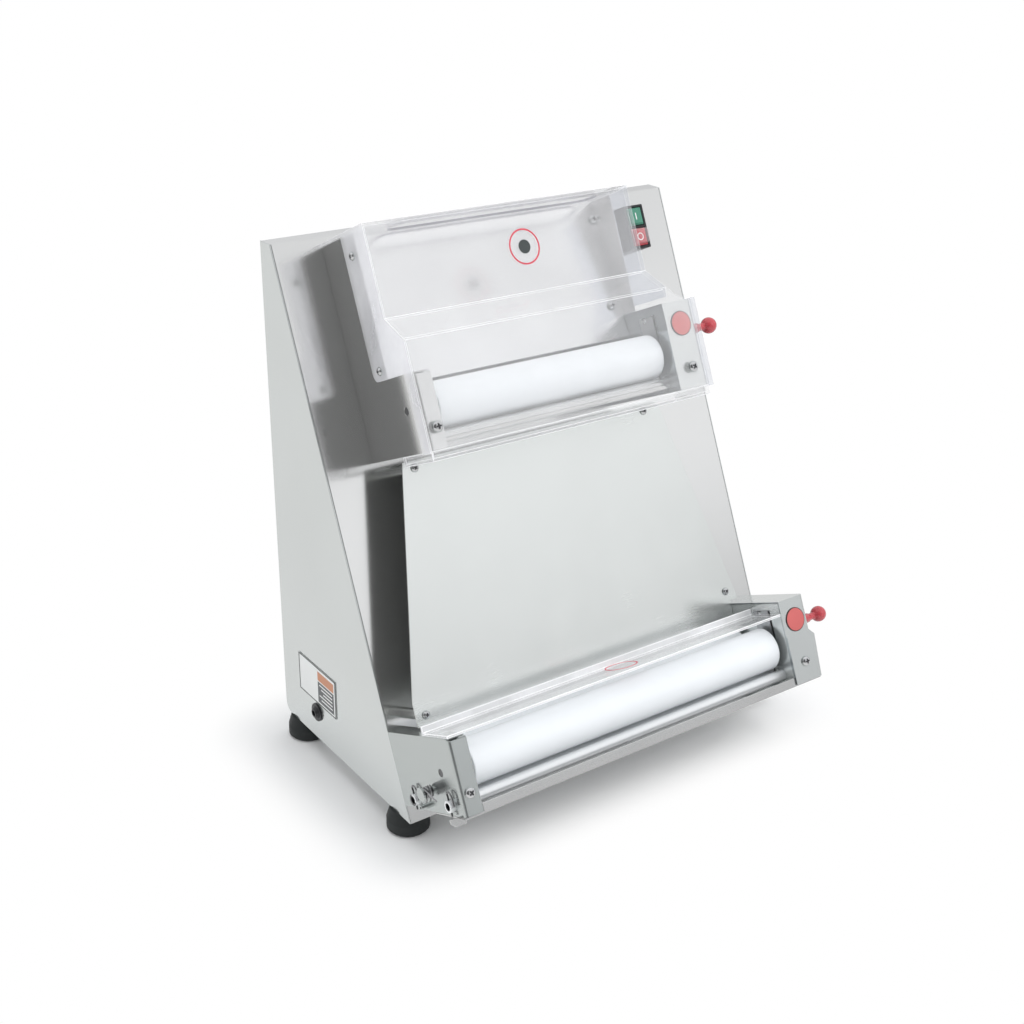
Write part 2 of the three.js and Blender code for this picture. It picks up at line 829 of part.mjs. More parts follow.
// The lower cheek has an end cap over the lower half of its front, with one corner cut
function endCap(head) {
  const right = head.outerRight + endCapOverhang;
  const outline = [
    [head.innerRight, endCapTop],
    [right - endCapCorner, endCapTop],
    [right, endCapTop + endCapCorner],
    [head.outerRight, headBottom],
    [head.innerRight, headBottom],
  ];
  const face = headFront + endCapSheet;
  const screw = screwHead(new THREE.Vector3((head.innerRight + head.outerRight) / 2, -face, -cheekScrewV),
    outOfFront);
  return join(leaningPlate(outline, headFront - cheekSheet / 2, face), screw);
}

function rollerSpan(head) {
  return [head.innerLeft + rollerEndGap, head.innerRight - rollerEndGap];
}

function roller(head, n) {
  const [x0, x1] = rollerSpan(head);
  const sleeve = leaningRod(rollerRadius, x0, x1, n, 0, wideSides);
  const bore = leaningRod(holeRadius(shaftRadius, gap), x0 - overrun, x1 + overrun, n, 0);
  return sleeve.subtract(bore);
}

function gearOutline(teeth, n) {
  const pitch = 2 * Math.PI / teeth;
  const root = teeth * toothPitchRadius - gearDedendum;
  const tip = teeth * toothPitchRadius + gearAddendum;
  const corners = [
    [root, -toothRootShare], [tip, -toothTipShare], [tip, toothTipShare], [root, toothRootShare],
  ];
  return Array.from({ length: teeth }, (unused, i) => corners.map(([radius, share]) => {
    const angle = (i + share) * pitch;
    return [n + radius * Math.cos(angle), radius * Math.sin(angle)];
  })).flat();
}

function rollerShaft(head, n) {
  const left = gearLeft(head);
  const start = head.innerLeft - plateThickness - gap - shaftStub;
  const shaft = leaningRod(shaftRadius, start, left + gearWidth + shaftStub, n, 0);
  const gear = leaningPrism(gearOutline(rollerTeeth, n), left, left + gearWidth);
  const hub = leaningRod(gearHubRadius, left, left + gearWidth + shaftStub / 2, n, 0);
  return join(shaft, gear, hub);
}

// One casting holds both front bearings; its yoke passes under the roller and its tail meets the crank
function rollerCarriage(head) {
  const spans = plateSpans(head);
  const left = leaningPrism(carriageOutline(carriageTop, 0), ...spans.left);
  const right = leaningPrism(carriageOutline(carriageTail, 0), ...spans.right);
  const rear = frontRollerN - carriageHalf;
  const yoke = slab([spans.left[0], spans.right[1]], [carriageYokeTop, carriageYokeBottom],
    [rear, rear + carriageYokeWidth]);
  const bore = leaningRod(holeRadius(shaftRadius, runningGap), spans.left[0] - overrun,
    spans.right[1] + overrun, frontRollerN, 0);
  const [pinN, pinV] = crankPinPlace();
  const reach = crankPinRadius + runningGap;
  const notch = slab([spans.right[0] - overrun, spans.right[1] + overrun],
    [carriageTail - overrun, pinV + reach], [pinN - reach, pinN + reach]);
  return join(left, right, yoke).subtract(join(bore, notch));
}

// The crank pin starts half a swing behind the top of its circle, so it pushes the carriage evenly
function crankPinPlace() {
  const throwRadius = nipTravel / 2 / Math.sin(leverSwing / 2);
  return [leverN - throwRadius * Math.sin(leverSwing / 2), leverV - throwRadius * Math.cos(leverSwing / 2)];
}

function gapShaft(head) {
  const plate = plateSpans(head).right;
  const [pinN, pinV] = crankPinPlace();
  const pin = leaningRod(crankPinRadius, plate[0] + gap, plate[1] + crankDiscWidth, pinN, pinV, smallSides);
  const disc = leaningRod(crankDiscRadius, plate[1] + gap, plate[1] + gap + crankDiscWidth, leverN, leverV);
  const shaft = leaningRod(leverShaftRadius, plate[1] + crankDiscWidth, head.outerRight + 2 * leverThickness,
    leverN, leverV);
  return join(pin, disc, shaft);
}

// A flat arm from the shaft to the knob, with a hub on the shaft
function gapArm(head) {
  const start = head.outerRight + gap;
  const faces = [start, start + leverThickness];
  const outline = loopOutline([leverN, leverV], leverHubRadius, [knobN, knobV], knobSleeveRadius + gap);
  const arm = leaningPrism(outline, ...faces);
  const hub = leaningRod(leverHubRadius - cheekSheet, start, faces[1] + leverThickness, leverN, leverV);
  const pinHole = leaningRod(holeRadius(knobPinRadius, runningGap), start - overrun, faces[1] + overrun,
    knobN, knobV);
  return join(arm, hub).subtract(pinHole);
}

// Pin, sleeve, neck and ball in one turned piece; the pin's nose rests on the index plate
function gapKnob(head) {
  const sleeveStart = gap + leverThickness + knobSleeveGap;
  const sleeveEnd = sleeveStart + knobSleeveLength;
  const ballStart = Math.asin(knobNeckRadius / knobBallRadius) - quarterTurn;
  const ball = arcPoints([0, knobBallReach], knobBallRadius, ballStart, quarterTurn, 2 * arcSteps);
  const profile = [
    [0, gap],
    [knobPinRadius, gap],
    [knobPinRadius, sleeveStart],
    [knobSleeveRadius, sleeveStart],
    [knobSleeveRadius, sleeveEnd],
    [knobNeckRadius, sleeveEnd],
    ...ball.slice(0, -1),
    [0, knobBallReach + knobBallRadius],
  ];
  return turned(profile, new THREE.Vector3(1, 0, 0),
    new THREE.Vector3(head.outerRight, -knobN, -knobV), shaftSides);
}

// Scrapers

function scraperSpan(head) {
  return [head.outerLeft - head.tubeOut, plateSpans(head).right[1]];
}

// A blade runs from the tube to a tip just under its roller, a little past the roller's axis
function scraper(head, tubeN, rollerN) {
  const [x0, x1] = scraperSpan(head);
  const inward = Math.sign(rollerN - tubeN);
  const tip = [rollerN + inward * scraperTipPast, scraperTipBelow];
  const root = [tubeN + inward * scraperSeat, scraperV - scraperSeat];
  const corners = [tip, root, [root[0], root[1] + scraperBlade], [tip[0], tip[1] + scraperTipEdge]];
  const blade = leaningPrism(corners, ...rollerSpan(head));
  const tube = leaningRod(scraperTubeRadius, x0, x1, tubeN, scraperV);
  const bore = leaningRod(scraperTubeBore, x0 - overrun, x1 + overrun, tubeN, scraperV, smallSides);
  const whole = join(tube, blade).subtract(bore);
  return head.tubeOut > 0 ? whole.subtract(clipHole(x0, tubeN, scraperV)) : whole;
}

function frontScraper(head) {
  return scraper(head, frontScraperN, frontRollerN);
}

function rearScraper(head) {
  return scraper(head, rearScraperN, rearRollerN);
}

function clipHole(tubeEnd, n, v) {
  const x = tubeEnd + clipFromEnd;
  return slab([x - clipWire - clipHoleGap, x + clipWire + clipHoleGap],
    [v - scraperTubeRadius - overrun, v + scraperTubeRadius + overrun],
    [n - clipWire - clipHoleGap, n + clipWire + clipHoleGap]);
}

// Wire clips through the lower tubes' ends, with a bowed leg beside the tube
function buildScraperClips(frame) {
  const [tubeEnd] = scraperSpan(lower);
  const names = ['front_scraper_clip', 'rear_scraper_clip'];
  scraperTubePlaces().forEach(([n, v], i) => {
    addPiece(frame, names[i], scraperClip(tubeEnd + clipFromEnd, n, v), finishes.bright);
  });
}

function scraperClip(x, n, v) {
  const side = scraperTubeRadius + clipWire + clipHoleGap;
  const places = [
    [0, side + clipLegBelow],
    [0, -scraperTubeRadius],
    [0, -side - clipLegAbove],
    [clipBow / 2, -side - clipLegAbove - clipBow / 2],
    [clipBow, -side - clipLegAbove],
    [side, -side],
    [side, 0],
  ];
  const curve = new THREE.CatmullRomCurve3(places.map(([dn, dv]) =>
    new THREE.Vector3(x, -n - dn, -v - dv)), false, 'centripetal');
  return wireAlong(curve, clipWire, springSides, 4 * places.length);
}

// The spring is one wire: a short hook, the turns round its pin and a long leg to the front tube
function springCurvePoints() {
  const points = [];
  const start = lower.outerLeft - springStart;
  const total = springTurns * springStepsPerTurn;
  for (let i = 0; i <= total; i += 1) {
    const angle = 2 * Math.PI * i / springStepsPerTurn;
    points.push(new THREE.Vector3(start - springPitch * i / springStepsPerTurn,
      -springN + springRadius * Math.cos(angle), -springV + springRadius * Math.sin(angle)));
  }
  return points;
}

function springLegs(points) {
  const first = points[0];
  const last = points[points.length - 1];
  const stopTop = springStopRadius + springWire + gap;
  const nearTube = scraperTubeRadius + springWire + gap;
  return {
    before: new THREE.Vector3(first.x, -springStopN - stopTop, -springStopV + stopTop),
    after: new THREE.Vector3(last.x, -frontScraperN + nearTube, -scraperV + nearTube),
  };
}

function leastTurnGap(points) {
  let least = Infinity;
  for (let i = 0; i < points.length; i += 1) {
    for (let j = i + springStepsPerTurn / 2; j < points.length; j += 1) {
      least = Math.min(least, points[i].distanceTo(points[j]) - 2 * springWire);
    }
  }
  return least;
}

function buildScraperSpring(frame) {
  const turns = springCurvePoints();
  const legs = springLegs(turns);
  const curve = new THREE.CatmullRomCurve3([legs.before, ...turns, legs.after], false, 'centripetal');
  const stepLength = 2 * Math.PI * springRadius / springStepsPerTurn;
  const steps = Math.round(curve.getLength() / stepLength);
  const least = leastTurnGap(curve.getSpacedPoints(steps));
  console.log(`scraper_spring: least gap to itself ${least.toFixed(2)} mm, wanted ${springLeastGap}`);
  const wire = wireAlong(curve, springWire, springSides, steps);
  addPiece(frame, 'scraper_spring', wire, finishes.bright);
}

// Welded to the left cheek: a headed pin for the coil and a short post for its hook
function springPins() {
  const face = lower.outerLeft + cheekSheet / 2;
  const coilEnd = lower.outerLeft - springStart - springTurns * springPitch - springWire - gap;
  const pin = leaningRod(springPinRadius, coilEnd, face, springN, springV, smallSides);
  const head = leaningRod(springPinHeadRadius, coilEnd - springPinHead, coilEnd, springN, springV);
  const stop = leaningRod(springStopRadius, face - springStopLength, face, springStopN, springStopV,
    smallSides);
  const stopBore = leaningRod(springStopRadius / 2, face - springStopLength - overrun,
    face - springStopLength / 2, springStopN, springStopV, smallSides);
  return join(pin, head, stop.subtract(stopBore));
}

// Infeed

function buildInfeed() {
  const left = upper.outerLeft + cheekSheet + gap;
  const right = upper.innerRight + infeedWallInset + infeedSheet / 2;
  const fold = [
    [gap, infeedTop],
    [infeedTopN, infeedTop],
    [infeedFootN, infeedFootU],
  ];
  const corner = slab([left - overrun, upper.innerLeft + gap],
    [upperAxisU + leftCheekTop - gap, infeedFootU + overrun], [gap, headFront]);
  const rightCorner = slab([upper.innerRight - gap, right + overrun],
    [upperAxisU + rightCheekTop - gap, infeedFootU + overrun], [gap, headFront]);
  const plate = leaningPrism(ribbon(fold, infeedSheet), left, right)
    .subtract(join(corner, rightCorner));
  const bottom = upperAxisU + rightCheekTop - gap;
  const wallLeft = upper.innerRight + infeedWallInset;
  const wall = slab([wallLeft, wallLeft + infeedSheet], [infeedTop, bottom], [gap, infeedDepth]);
  addPiece(slanted, 'infeed_plate', join(plate, wall), finishes.stainless);
}

// Hood

function buildHood() {
  const left = upper.outerLeft - gap - hoodWall;
  const right = upper.innerRight + infeedWallInset + infeedSheet + gap + hoodWall;
  const shell = hoodShell(left, right).subtract(hoodTrims(left, right));
  const shoulder = hoodShoulderPanel(right);
  const slot = leaningSill(slotOutline(), hoodTop - overrun, hoodTop + hoodWall + overrun);
  const hood = join(shell, shoulder).subtract(slot);
  addPiece(slanted, 'upper_hood', join(hood, ...hoodScrews(left, right)), finishes.clear);
}

function hoodScrews(left, right) {
  const sides = [
    [left, hoodScrewTop, hoodScrewN.left, -1],
    [left, hoodScrewBottom, hoodScrewN.left, -1],
    [right, hoodScrewTop, hoodScrewN.right, 1],
    [right, hoodShoulder - hoodSideCorner, hoodScrewN.right, 1],
  ].map(([x, u, n, side]) => screwHead(new THREE.Vector3(x, -n, -u),
    new THREE.Vector3(side, 0, 0), smallScrewShare));
  const fronts = [upper.outerLeft + cheekScrewInset, (upper.innerRight + upper.outerRight) / 2].map((x) =>
    screwHead(new THREE.Vector3(x, -hoodPanelFront, -upperAxisU - cheekScrewV), outOfFront));
  return [...sides, ...fronts];
}

// Top, front and both side walls; the band between the bends steps the front out over the rollers
function hoodShell(left, right) {
  const outside = [
    [gap, hoodTop],
    [hoodFront, hoodTop],
    [hoodFront, hoodUpperBend],
    [hoodPanelFront, hoodLowerBend],
    [hoodPanelFront, hoodBottom],
    [gap, hoodBottom],
  ];
  const inside = [
    [-overrun, hoodTop + hoodWall],
    [hoodFront - hoodWall, hoodTop + hoodWall],
    [hoodFront - hoodWall, hoodUpperBend + hoodWall / 2],
    [hoodPanelBack, hoodLowerBend + hoodWall / 2],
    [hoodPanelBack, hoodBottom + overrun],
    [-overrun, hoodBottom + overrun],
  ];
  const outer = leaningPrism(outside, left, right);
  return outer.subtract(leaningPrism(inside, left + hoodWall, right - hoodWall));
}

function hoodTrims(left, right) {
  const below = hoodTop + hoodWall;
  const corner = [hoodRear + hoodSideCorner, hoodSideBottom - hoodSideCorner];
  const leftTrim = [
    [-overrun, below],
    [hoodRear, below],
    ...arcPoints(corner, hoodSideCorner, Math.PI, quarterTurn),
    [hoodPanelFront - hoodWrap, hoodSideBottom],
    [hoodPanelFront - hoodWrap, hoodBottom + overrun],
    [-overrun, hoodBottom + overrun],
  ];
  const rightTrim = [
    [-overrun, below],
    [hoodRightRear, below],
    [hoodRightRear, hoodShoulder],
    [hoodPanelBack, hoodShoulder],
    [hoodPanelBack, hoodBottom + overrun],
    [-overrun, hoodBottom + overrun],
  ];
  return join(leaningPrism(leftTrim, left - overrun, left + hoodWall + overrun),
    leaningPrism(rightTrim, right - hoodWall - overrun, right + overrun));
}

// On the right the lower panel widens into a shoulder that wraps the gear cover's corner
function hoodShoulderPanel(right) {
  const outerRight = upper.outerRight + gap + hoodWall;
  const panel = [
    [right - hoodWall, hoodLowerBend],
    [right, hoodLowerBend],
    [right + hoodFlareStart, hoodShoulder],
    [right + 2 * hoodFlareStart, hoodFlareTop],
    [outerRight, hoodFlareTop],
    [outerRight, hoodBottom],
    [right - hoodWall, hoodBottom],
  ];
  return join(
    leaningPlate(panel, hoodPanelBack, hoodPanelFront),
    slab([upper.outerRight + gap, outerRight], [hoodFlareTop, hoodBottom],
      [hoodPanelFront - hoodRightWrap, hoodPanelFront]),
  );
}

function slotOutline() {
  const end = slotWidth / 2;
  const reach = slotLength / 2 - end;
  return [
    ...arcPoints([slotCentreX + reach, slotCentreN], end, -quarterTurn, quarterTurn, slotEndSteps),
    ...arcPoints([slotCentreX - reach, slotCentreN], end, quarterTurn, 3 * quarterTurn, slotEndSteps),
  ];
}

// Trays and guard

// A shallow clear tray under the upper head, open at the rear where the dough comes out
function buildUpperTray(frame) {
  const top = headBottom + gap;
  const down = [top, headBottom + trayDrop];
  const across = [upper.outerLeft, upper.outerRight];
  const outer = slab(across, down, [trayRear, headFront]);
  const hollow = slab([across[0] + trayWall, across[1] - trayWall],
    [top - overrun, headBottom + trayDrop - trayWall], [trayRear - overrun, headFront - trayWall]);
  addPiece(frame, 'upper_outlet_tray', outer.subtract(hollow), finishes.clear);
}

// The lower tray is sheet metal: a front lip between the cheeks and an ear at the left end
function buildLowerTray(frame) {
  const top = headBottom + gap;
  const below = top + cheekSheet;
  const bottom = slab([lower.outerLeft, lower.outerRight], [top, below], [trayRear, headFront]);
  const lip = slab([lower.innerLeft + gap, lower.innerRight - gap],
    [headBottom - lowerTrayLip, below], [headFront - cheekSheet, headFront]);
  const left = lower.outerLeft - trayEarOut;
  const ear = leaningPlate([
    [left, top],
    [left + trayEarWidth, top],
    [left + trayEarWidth, top + trayEarDrop],
    [left + trayEarCorner, top + trayEarDrop],
    [left, top + trayEarDrop - trayEarCorner],
  ], trayEarN, trayEarN + cheekSheet);
  addPiece(frame, 'lower_outlet_tray', join(bottom, lip, ear), finishes.stainless);
}

// The guard lies from the left cheek's top to the right cheek, with its rear edge turned up
function buildLowerGuard(frame) {
  const frontUnder = leftCheekTop - gap;
  const fold = [
    [guardRear, frontUnder - guardFlange - trayWall],
    [guardRear, frontUnder],
    [headFront, frontUnder],
  ];
  const sheet = leaningPrism(ribbon(fold, -trayWall), lower.outerLeft, lower.innerRight - gap);
  addPiece(frame, 'lower_guard', sheet, finishes.clear);
}

// Chute

function buildChute() {
  const outline = [
    [chuteTopLeft, chuteTop],
    [chuteTopRight, chuteTop],
    [chuteRight, chuteKnee],
    [chuteRight, chuteNotch],
    [lower.innerRight - gap, chuteNotch],
    [lower.innerRight - gap, chuteBottom],
    [chuteLeft, chuteBottom],
    [chuteLeft, chuteKnee],
  ];
  const plate = leaningPlate(outline, chuteFace - chuteSheet, chuteFace);
  const studs = chuteScrews.map(({ x, u }) => turned(
    [[0, gap], [chuteStudRadius, gap], [chuteStudRadius, chuteFace - chuteSheet / 2],
      [0, chuteFace - chuteSheet / 2]], outOfFront, new THREE.Vector3(x, 0, -u)));
  const heads = chuteScrews.map(({ x, u }) =>
    screwHead(new THREE.Vector3(x, -chuteFace, -u), outOfFront, smallScrewShare));
  addPiece(slanted, 'chute_plate', join(plate, ...studs, ...heads), finishes.stainless);
}

// Drive

function driveShaft(cheeks, axisU, start) {
  const left = gearLeft(cheeks);
  const shaft = leaningRod(driveRadius, start, left + gearWidth + shaftStub, driveN, axisU);
  const gear = leaningPrism(gearOutline(driveTeeth, driveN).map(([n, v]) => [n, v + axisU]),
    left, left + gearWidth);
  const sprocket = leaningRod(sprocketRadius, sprocketLeft, sprocketLeft + sprocketWidth, driveN, axisU);
  return join(shaft, gear, sprocket);
}

function pulley(y, z) {
  const rim = pulleyRadius + pulleyFlangeRise;
  const right = pulleyLeft + pulleyWidth;
  return join(
    rodAlongX(pulleyRadius, pulleyLeft, right, y, z, shaftSides),
    rodAlongX(rim, pulleyLeft, pulleyLeft + pulleyFlange, y, z, shaftSides),
    rodAlongX(rim, right - pulleyFlange, right, y, z, shaftSides),
  );
}

// Two bearing blocks on one foot stand on the inside of the front panel
function bearingBlocks(lefts, axisU) {
  const back = driveN - driveRadius - blockWall;
  const down = [axisU - blockHalfHeight, axisU + blockHalfHeight];
  const foot = slab([Math.min(...lefts), Math.max(...lefts) + blockWidth], down,
    [-bodySheet - gap - blockFoot, -bodySheet - gap]);
  const blocks = lefts.map((x) => slab([x, x + blockWidth], down, [back, -bodySheet - gap]));
  const bore = leaningRod(holeRadius(driveRadius, runningGap), Math.min(...lefts) - overrun,
    Math.max(...lefts) + blockWidth + overrun, driveN, axisU);
  return join(foot, ...blocks).subtract(bore);
}

function motorCentre() {
  return { y: -motorFromRear, z: bodyBase + baseSheet + motorFromBase + motorRadius };
}

function buildDrive() {
  const start = sprocketLeft - shaftStub;
  const lowerPulley = pulley(-driveN, -lowerAxisU);
  const lowerShaft = driveShaft(lower, lowerAxisU, start).add(lowerPulley);
  addPiece(slanted, 'lower_drive_shaft', lowerShaft, finishes.gear);
  addPiece(slanted, 'upper_drive_shaft', driveShaft(upper, upperAxisU, start), finishes.gear);
  addPiece(slanted, 'upper_drive_bearings', bearingBlocks(upperBlockLefts, upperAxisU), finishes.gear);
  addPiece(slanted, 'lower_drive_bearings', bearingBlocks(lowerBlockLefts, lowerAxisU), finishes.gear);
  addPiece(slanted, 'drive_chain', driveChain(), finishes.gear);
  addPiece(machine, 'gearmotor', gearmotor(), finishes.motor);
  addPiece(machine, 'motor_pulley', motorPulley(), finishes.gear);
  addPiece(machine, 'motor_cradle', motorCradle(), finishes.stainless);
  addPiece(machine, 'drive_belt', driveBelt(), finishes.rubber);
}

function driveChain() {
  const ends = [[driveN, upperAxisU], [driveN, lowerAxisU]];
  const inner = holeRadius(sprocketRadius, gap);
  const outer = inner + chainThickness;
  const band = leaningPrism(loopOutline(ends[0], outer, ends[1], outer), sprocketLeft,
    sprocketLeft + sprocketWidth);
  return band.subtract(leaningPrism(loopOutline(ends[0], inner, ends[1], inner),
    sprocketLeft - overrun, sprocketLeft + sprocketWidth + overrun));
}

function gearmotor() {
  const { y, z } = motorCentre();
  const gearboxLeft = gearboxRight - gearboxLength;
  const canLeft = gearboxLeft - motorLength;
  const bell = motorRadius * motorBellShare;
  const can = turned([
    [0, 0], [bell, 0], [motorRadius, motorBellLength],
    [motorRadius, motorLength - motorBellLength], [bell, motorLength], [0, motorLength],
  ], new THREE.Vector3(1, 0, 0), new THREE.Vector3(canLeft, y, z), shaftSides);
  const gearbox = blockBetween(
    new THREE.Vector3(gearboxLeft - motorBellLength, y - gearboxHalf, z - gearboxHalf),
    new THREE.Vector3(gearboxRight, y + gearboxHalf, z + gearboxHalf));
  const terminalMiddle = canLeft + motorLength / 2;
  const terminals = blockBetween(
    new THREE.Vector3(terminalMiddle - terminalLength / 2, y - terminalWidth / 2, z),
    new THREE.Vector3(terminalMiddle + terminalLength / 2, y + terminalWidth / 2,
      z + motorRadius + terminalHeight));
  const bore = rodAlongX(holeRadius(driveRadius, runningGap), gearboxRight - gearboxLength / 2,
    gearboxRight + overrun, y, z, shaftSides);
  return join(can, gearbox, terminals).subtract(bore);
}

function motorPulley() {
  const { y, z } = motorCentre();
  const start = gearboxRight - gearboxLength / 2 + gap;
  const shaft = rodAlongX(driveRadius, start, pulleyLeft + pulleyWidth + shaftStub, y, z, shaftSides);
  return join(shaft, pulley(y, z));
}

// Two saddles on a foot plate hold the motor off the base
function motorCradle() {
  const { y, z } = motorCentre();
  const floor = bodyBase + baseSheet + gap;
  const middle = gearboxRight - gearboxLength - motorLength / 2;
  const halfDepth = cradleDepth / 2;
  const half = cradleSpread / 2 + cradleWidth / 2;
  const foot = blockBetween(new THREE.Vector3(middle - half, y - halfDepth, floor),
    new THREE.Vector3(middle + half, y + halfDepth, floor + cradleFoot));
  const saddles = [-1, 1].map((side) => {
    const x = middle + side * cradleSpread / 2;
    return blockBetween(new THREE.Vector3(x - cradleWidth / 2, y - halfDepth, floor),
      new THREE.Vector3(x + cradleWidth / 2, y + halfDepth, floor + cradleHeight));
  });
  const can = rodAlongX(holeRadius(motorRadius, gap), middle - motorLength, middle + motorLength, y, z,
    shaftSides);
  return join(foot, ...saddles).subtract(can);
}

function driveBelt() {
  const motor = motorCentre();
  const shaft = frontPoint(lowerAxisU, driveN);
  const ends = [[motor.y, motor.z], [shaft.y, shaft.z]];
  const inner = holeRadius(pulleyRadius, gap);
  const outer = inner + beltThickness;
  const x0 = pulleyLeft + pulleyFlange + gap;
  const x1 = pulleyLeft + pulleyWidth - pulleyFlange - gap;
  const band = prism(loopOutline(ends[0], outer, ends[1], outer), x0, x1);
  return band.subtract(prism(loopOutline(ends[0], inner, ends[1], inner), x0 - overrun, x1 + overrun));
}

// Screws and discs

// A washer and a pan head, sunk a little into the piece that it holds
function screwHead(place, aim, scale = 1) {
  const head = screwRadius * scale;
  const profile = [
    [0, -washerHeight],
    [washerRadius * scale, -washerHeight],
    [washerRadius * scale, washerHeight],
    [head, washerHeight],
    [head * screwCrownShare, washerHeight + screwHeight * scale],
    [0, washerHeight + screwHeight * scale],
  ];
  return turned(profile, aim, place);
}

function buildDiscs() {
  const profile = [[0, gap], [discRadius, gap], [discRadius, gap + discThickness], [0, gap + discThickness]];
  [upper, lower].forEach((head) => {
    const place = new THREE.Vector3((head.innerRight + head.outerRight) / 2, -headFront,
      -head.axisU - discV);
    addPiece(slanted, `${head.prefix}_red_disc`, turned(profile, outOfFront, place, wideSides),
      finishes.red);
  });
}

function backScrews() {
  const back = new THREE.Vector3(0, 1, 0);
  const x = halfWidth - coverScrewInset;
  const low = coverBottom() + coverScrewInset;
  const high = coverTop() - coverScrewInset;
  return [-x, x].flatMap((place) => [low, (low + high) / 2, high].map((z) =>
    screwHead(new THREE.Vector3(place, 0, z), back, smallScrewShare)));
}

// The origin is on the ground, under the middle of the whole machine
function standOnOrigin() {
  machine.updateMatrixWorld(true);
  const bounds = new THREE.Box3().setFromObject(machine, true);
  const middle = bounds.getCenter(new THREE.Vector3());
  machine.position.set(-middle.x, -middle.y, -bounds.min.z);
}

export default machine;
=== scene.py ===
"""Looks of the dough roller machine, built round its CAD frame.

Metres, in the same frame as the CAD, +Z up.
"""

import json
import math

import bmesh
import bpy
from mathutils import Matrix, Vector

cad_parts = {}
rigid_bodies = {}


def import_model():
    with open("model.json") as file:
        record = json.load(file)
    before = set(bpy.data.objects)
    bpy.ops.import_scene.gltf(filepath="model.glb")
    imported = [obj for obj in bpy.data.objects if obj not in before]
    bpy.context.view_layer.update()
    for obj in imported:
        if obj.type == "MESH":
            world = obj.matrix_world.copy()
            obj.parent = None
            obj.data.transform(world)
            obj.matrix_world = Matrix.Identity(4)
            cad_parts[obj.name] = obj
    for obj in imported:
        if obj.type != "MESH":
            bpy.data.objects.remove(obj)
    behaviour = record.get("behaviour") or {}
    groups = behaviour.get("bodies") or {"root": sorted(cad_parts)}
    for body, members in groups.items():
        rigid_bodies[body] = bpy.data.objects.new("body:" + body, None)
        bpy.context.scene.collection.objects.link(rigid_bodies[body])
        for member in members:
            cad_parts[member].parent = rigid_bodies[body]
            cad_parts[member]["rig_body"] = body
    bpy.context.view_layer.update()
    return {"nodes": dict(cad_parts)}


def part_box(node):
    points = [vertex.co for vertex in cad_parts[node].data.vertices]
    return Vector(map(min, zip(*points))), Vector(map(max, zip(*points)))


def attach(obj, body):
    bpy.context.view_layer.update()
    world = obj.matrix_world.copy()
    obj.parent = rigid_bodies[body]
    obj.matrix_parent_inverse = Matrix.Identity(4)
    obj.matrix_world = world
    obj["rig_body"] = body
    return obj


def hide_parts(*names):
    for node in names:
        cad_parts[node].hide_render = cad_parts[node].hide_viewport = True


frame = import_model()

MM = 0.001

# The leaning frame of the machine's front: x to the right, u down the front, n out of it, in mm
LEAN = math.atan2(260.6, 572)
FRONT_TOP = Vector((1.65, 172.8, 600))
ACROSS = Vector((1, 0, 0))
DOWN = Vector((0, -math.sin(LEAN), -math.cos(LEAN)))
OUT = Vector((0, -math.cos(LEAN), math.sin(LEAN)))
UPPER_AXIS = 201.5
LOWER_AXIS = 563.2
UPPER_CHEEK_X = -206.8
LOWER_CHEEK_X = -265.0


def place(x, u, n):
    """A point of the leaning frame, in the frame of the CAD, in metres."""
    return (FRONT_TOP + ACROSS * x + DOWN * u + OUT * n) * MM


# Shader nodes


def remap(tree, source, to_range, from_range=(0.0, 1.0), smooth=False):
    """A value mapped from one range to another."""
    node = tree.nodes.new("ShaderNodeMapRange")
    if smooth:
        node.interpolation_type = "SMOOTHSTEP"
    node.inputs["From Min"].default_value, node.inputs["From Max"].default_value = from_range
    node.inputs["To Min"].default_value, node.inputs["To Max"].default_value = to_range
    tree.links.new(source, node.inputs["Value"])
    return node.outputs["Result"]


def combine(tree, operation, first, second, clamp=False):
    """Two values put together by a math operation."""
    node = tree.nodes.new("ShaderNodeMath")
    node.operation = operation
    node.use_clamp = clamp
    tree.links.new(first, node.inputs[0])
    tree.links.new(second, node.inputs[1])
    return node.outputs["Value"]


def vector_math(tree, operation, source, amount=(0, 0, 0), output="Vector"):
    """A vector operation on a source and a constant."""
    node = tree.nodes.new("ShaderNodeVectorMath")
    node.operation = operation
    node.inputs[1].default_value = amount
    tree.links.new(source, node.inputs[0])
    return node.outputs[output]


def mixed(tree, share, first, second):
    """Two shaders mixed. A share of 0 gives the first, 1 the second."""
    node = tree.nodes.new("ShaderNodeMixShader")
    tree.links.new(share, node.inputs[0])
    tree.links.new(first, node.inputs[1])
    tree.links.new(second, node.inputs[2])
    return node.outputs["Shader"]


# Materials

NOISE_RANGE = (0.3, 0.7)
SHADE_RANGE = (0.32, 0.68)
GRAIN_ACROSS = 1500.0
GRAIN_ALONG = 30.0
SHEET_CLOUDS = (7, 7, 5)
CLOUD_SHARE = 0.8
PALER_SHARE = 0.6
SHEET_RELIEF = (0.000004, 0.12)
MOULDED_CLOUDS = (26, 26, 26)
MOULDED_SHEEN_CHANGE = 0.15
MOULDED_RELIEF_STRENGTH = 0.4
HAZE = (0.99, 0.99, 1)
HAZE_ROUGHNESS = 0.5
SMEARS = (14, 14, 9)
SMEAR_CHANGE = 0.3
GLOSS_STEEPNESS = 5.0
LEAST_GLOSS = 0.04


def shader(name, colour, roughness, metallic=0.0):
    """A material with one Principled shader, its node tree and the shader."""
    material = bpy.data.materials.new(name)
    material.use_nodes = True
    tree = material.node_tree
    main = tree.nodes["Principled BSDF"]
    main.inputs["Base Color"].default_value = (*colour, 1)
    main.inputs["Roughness"].default_value = roughness
    main.inputs["Metallic"].default_value = metallic
    return material, tree, main


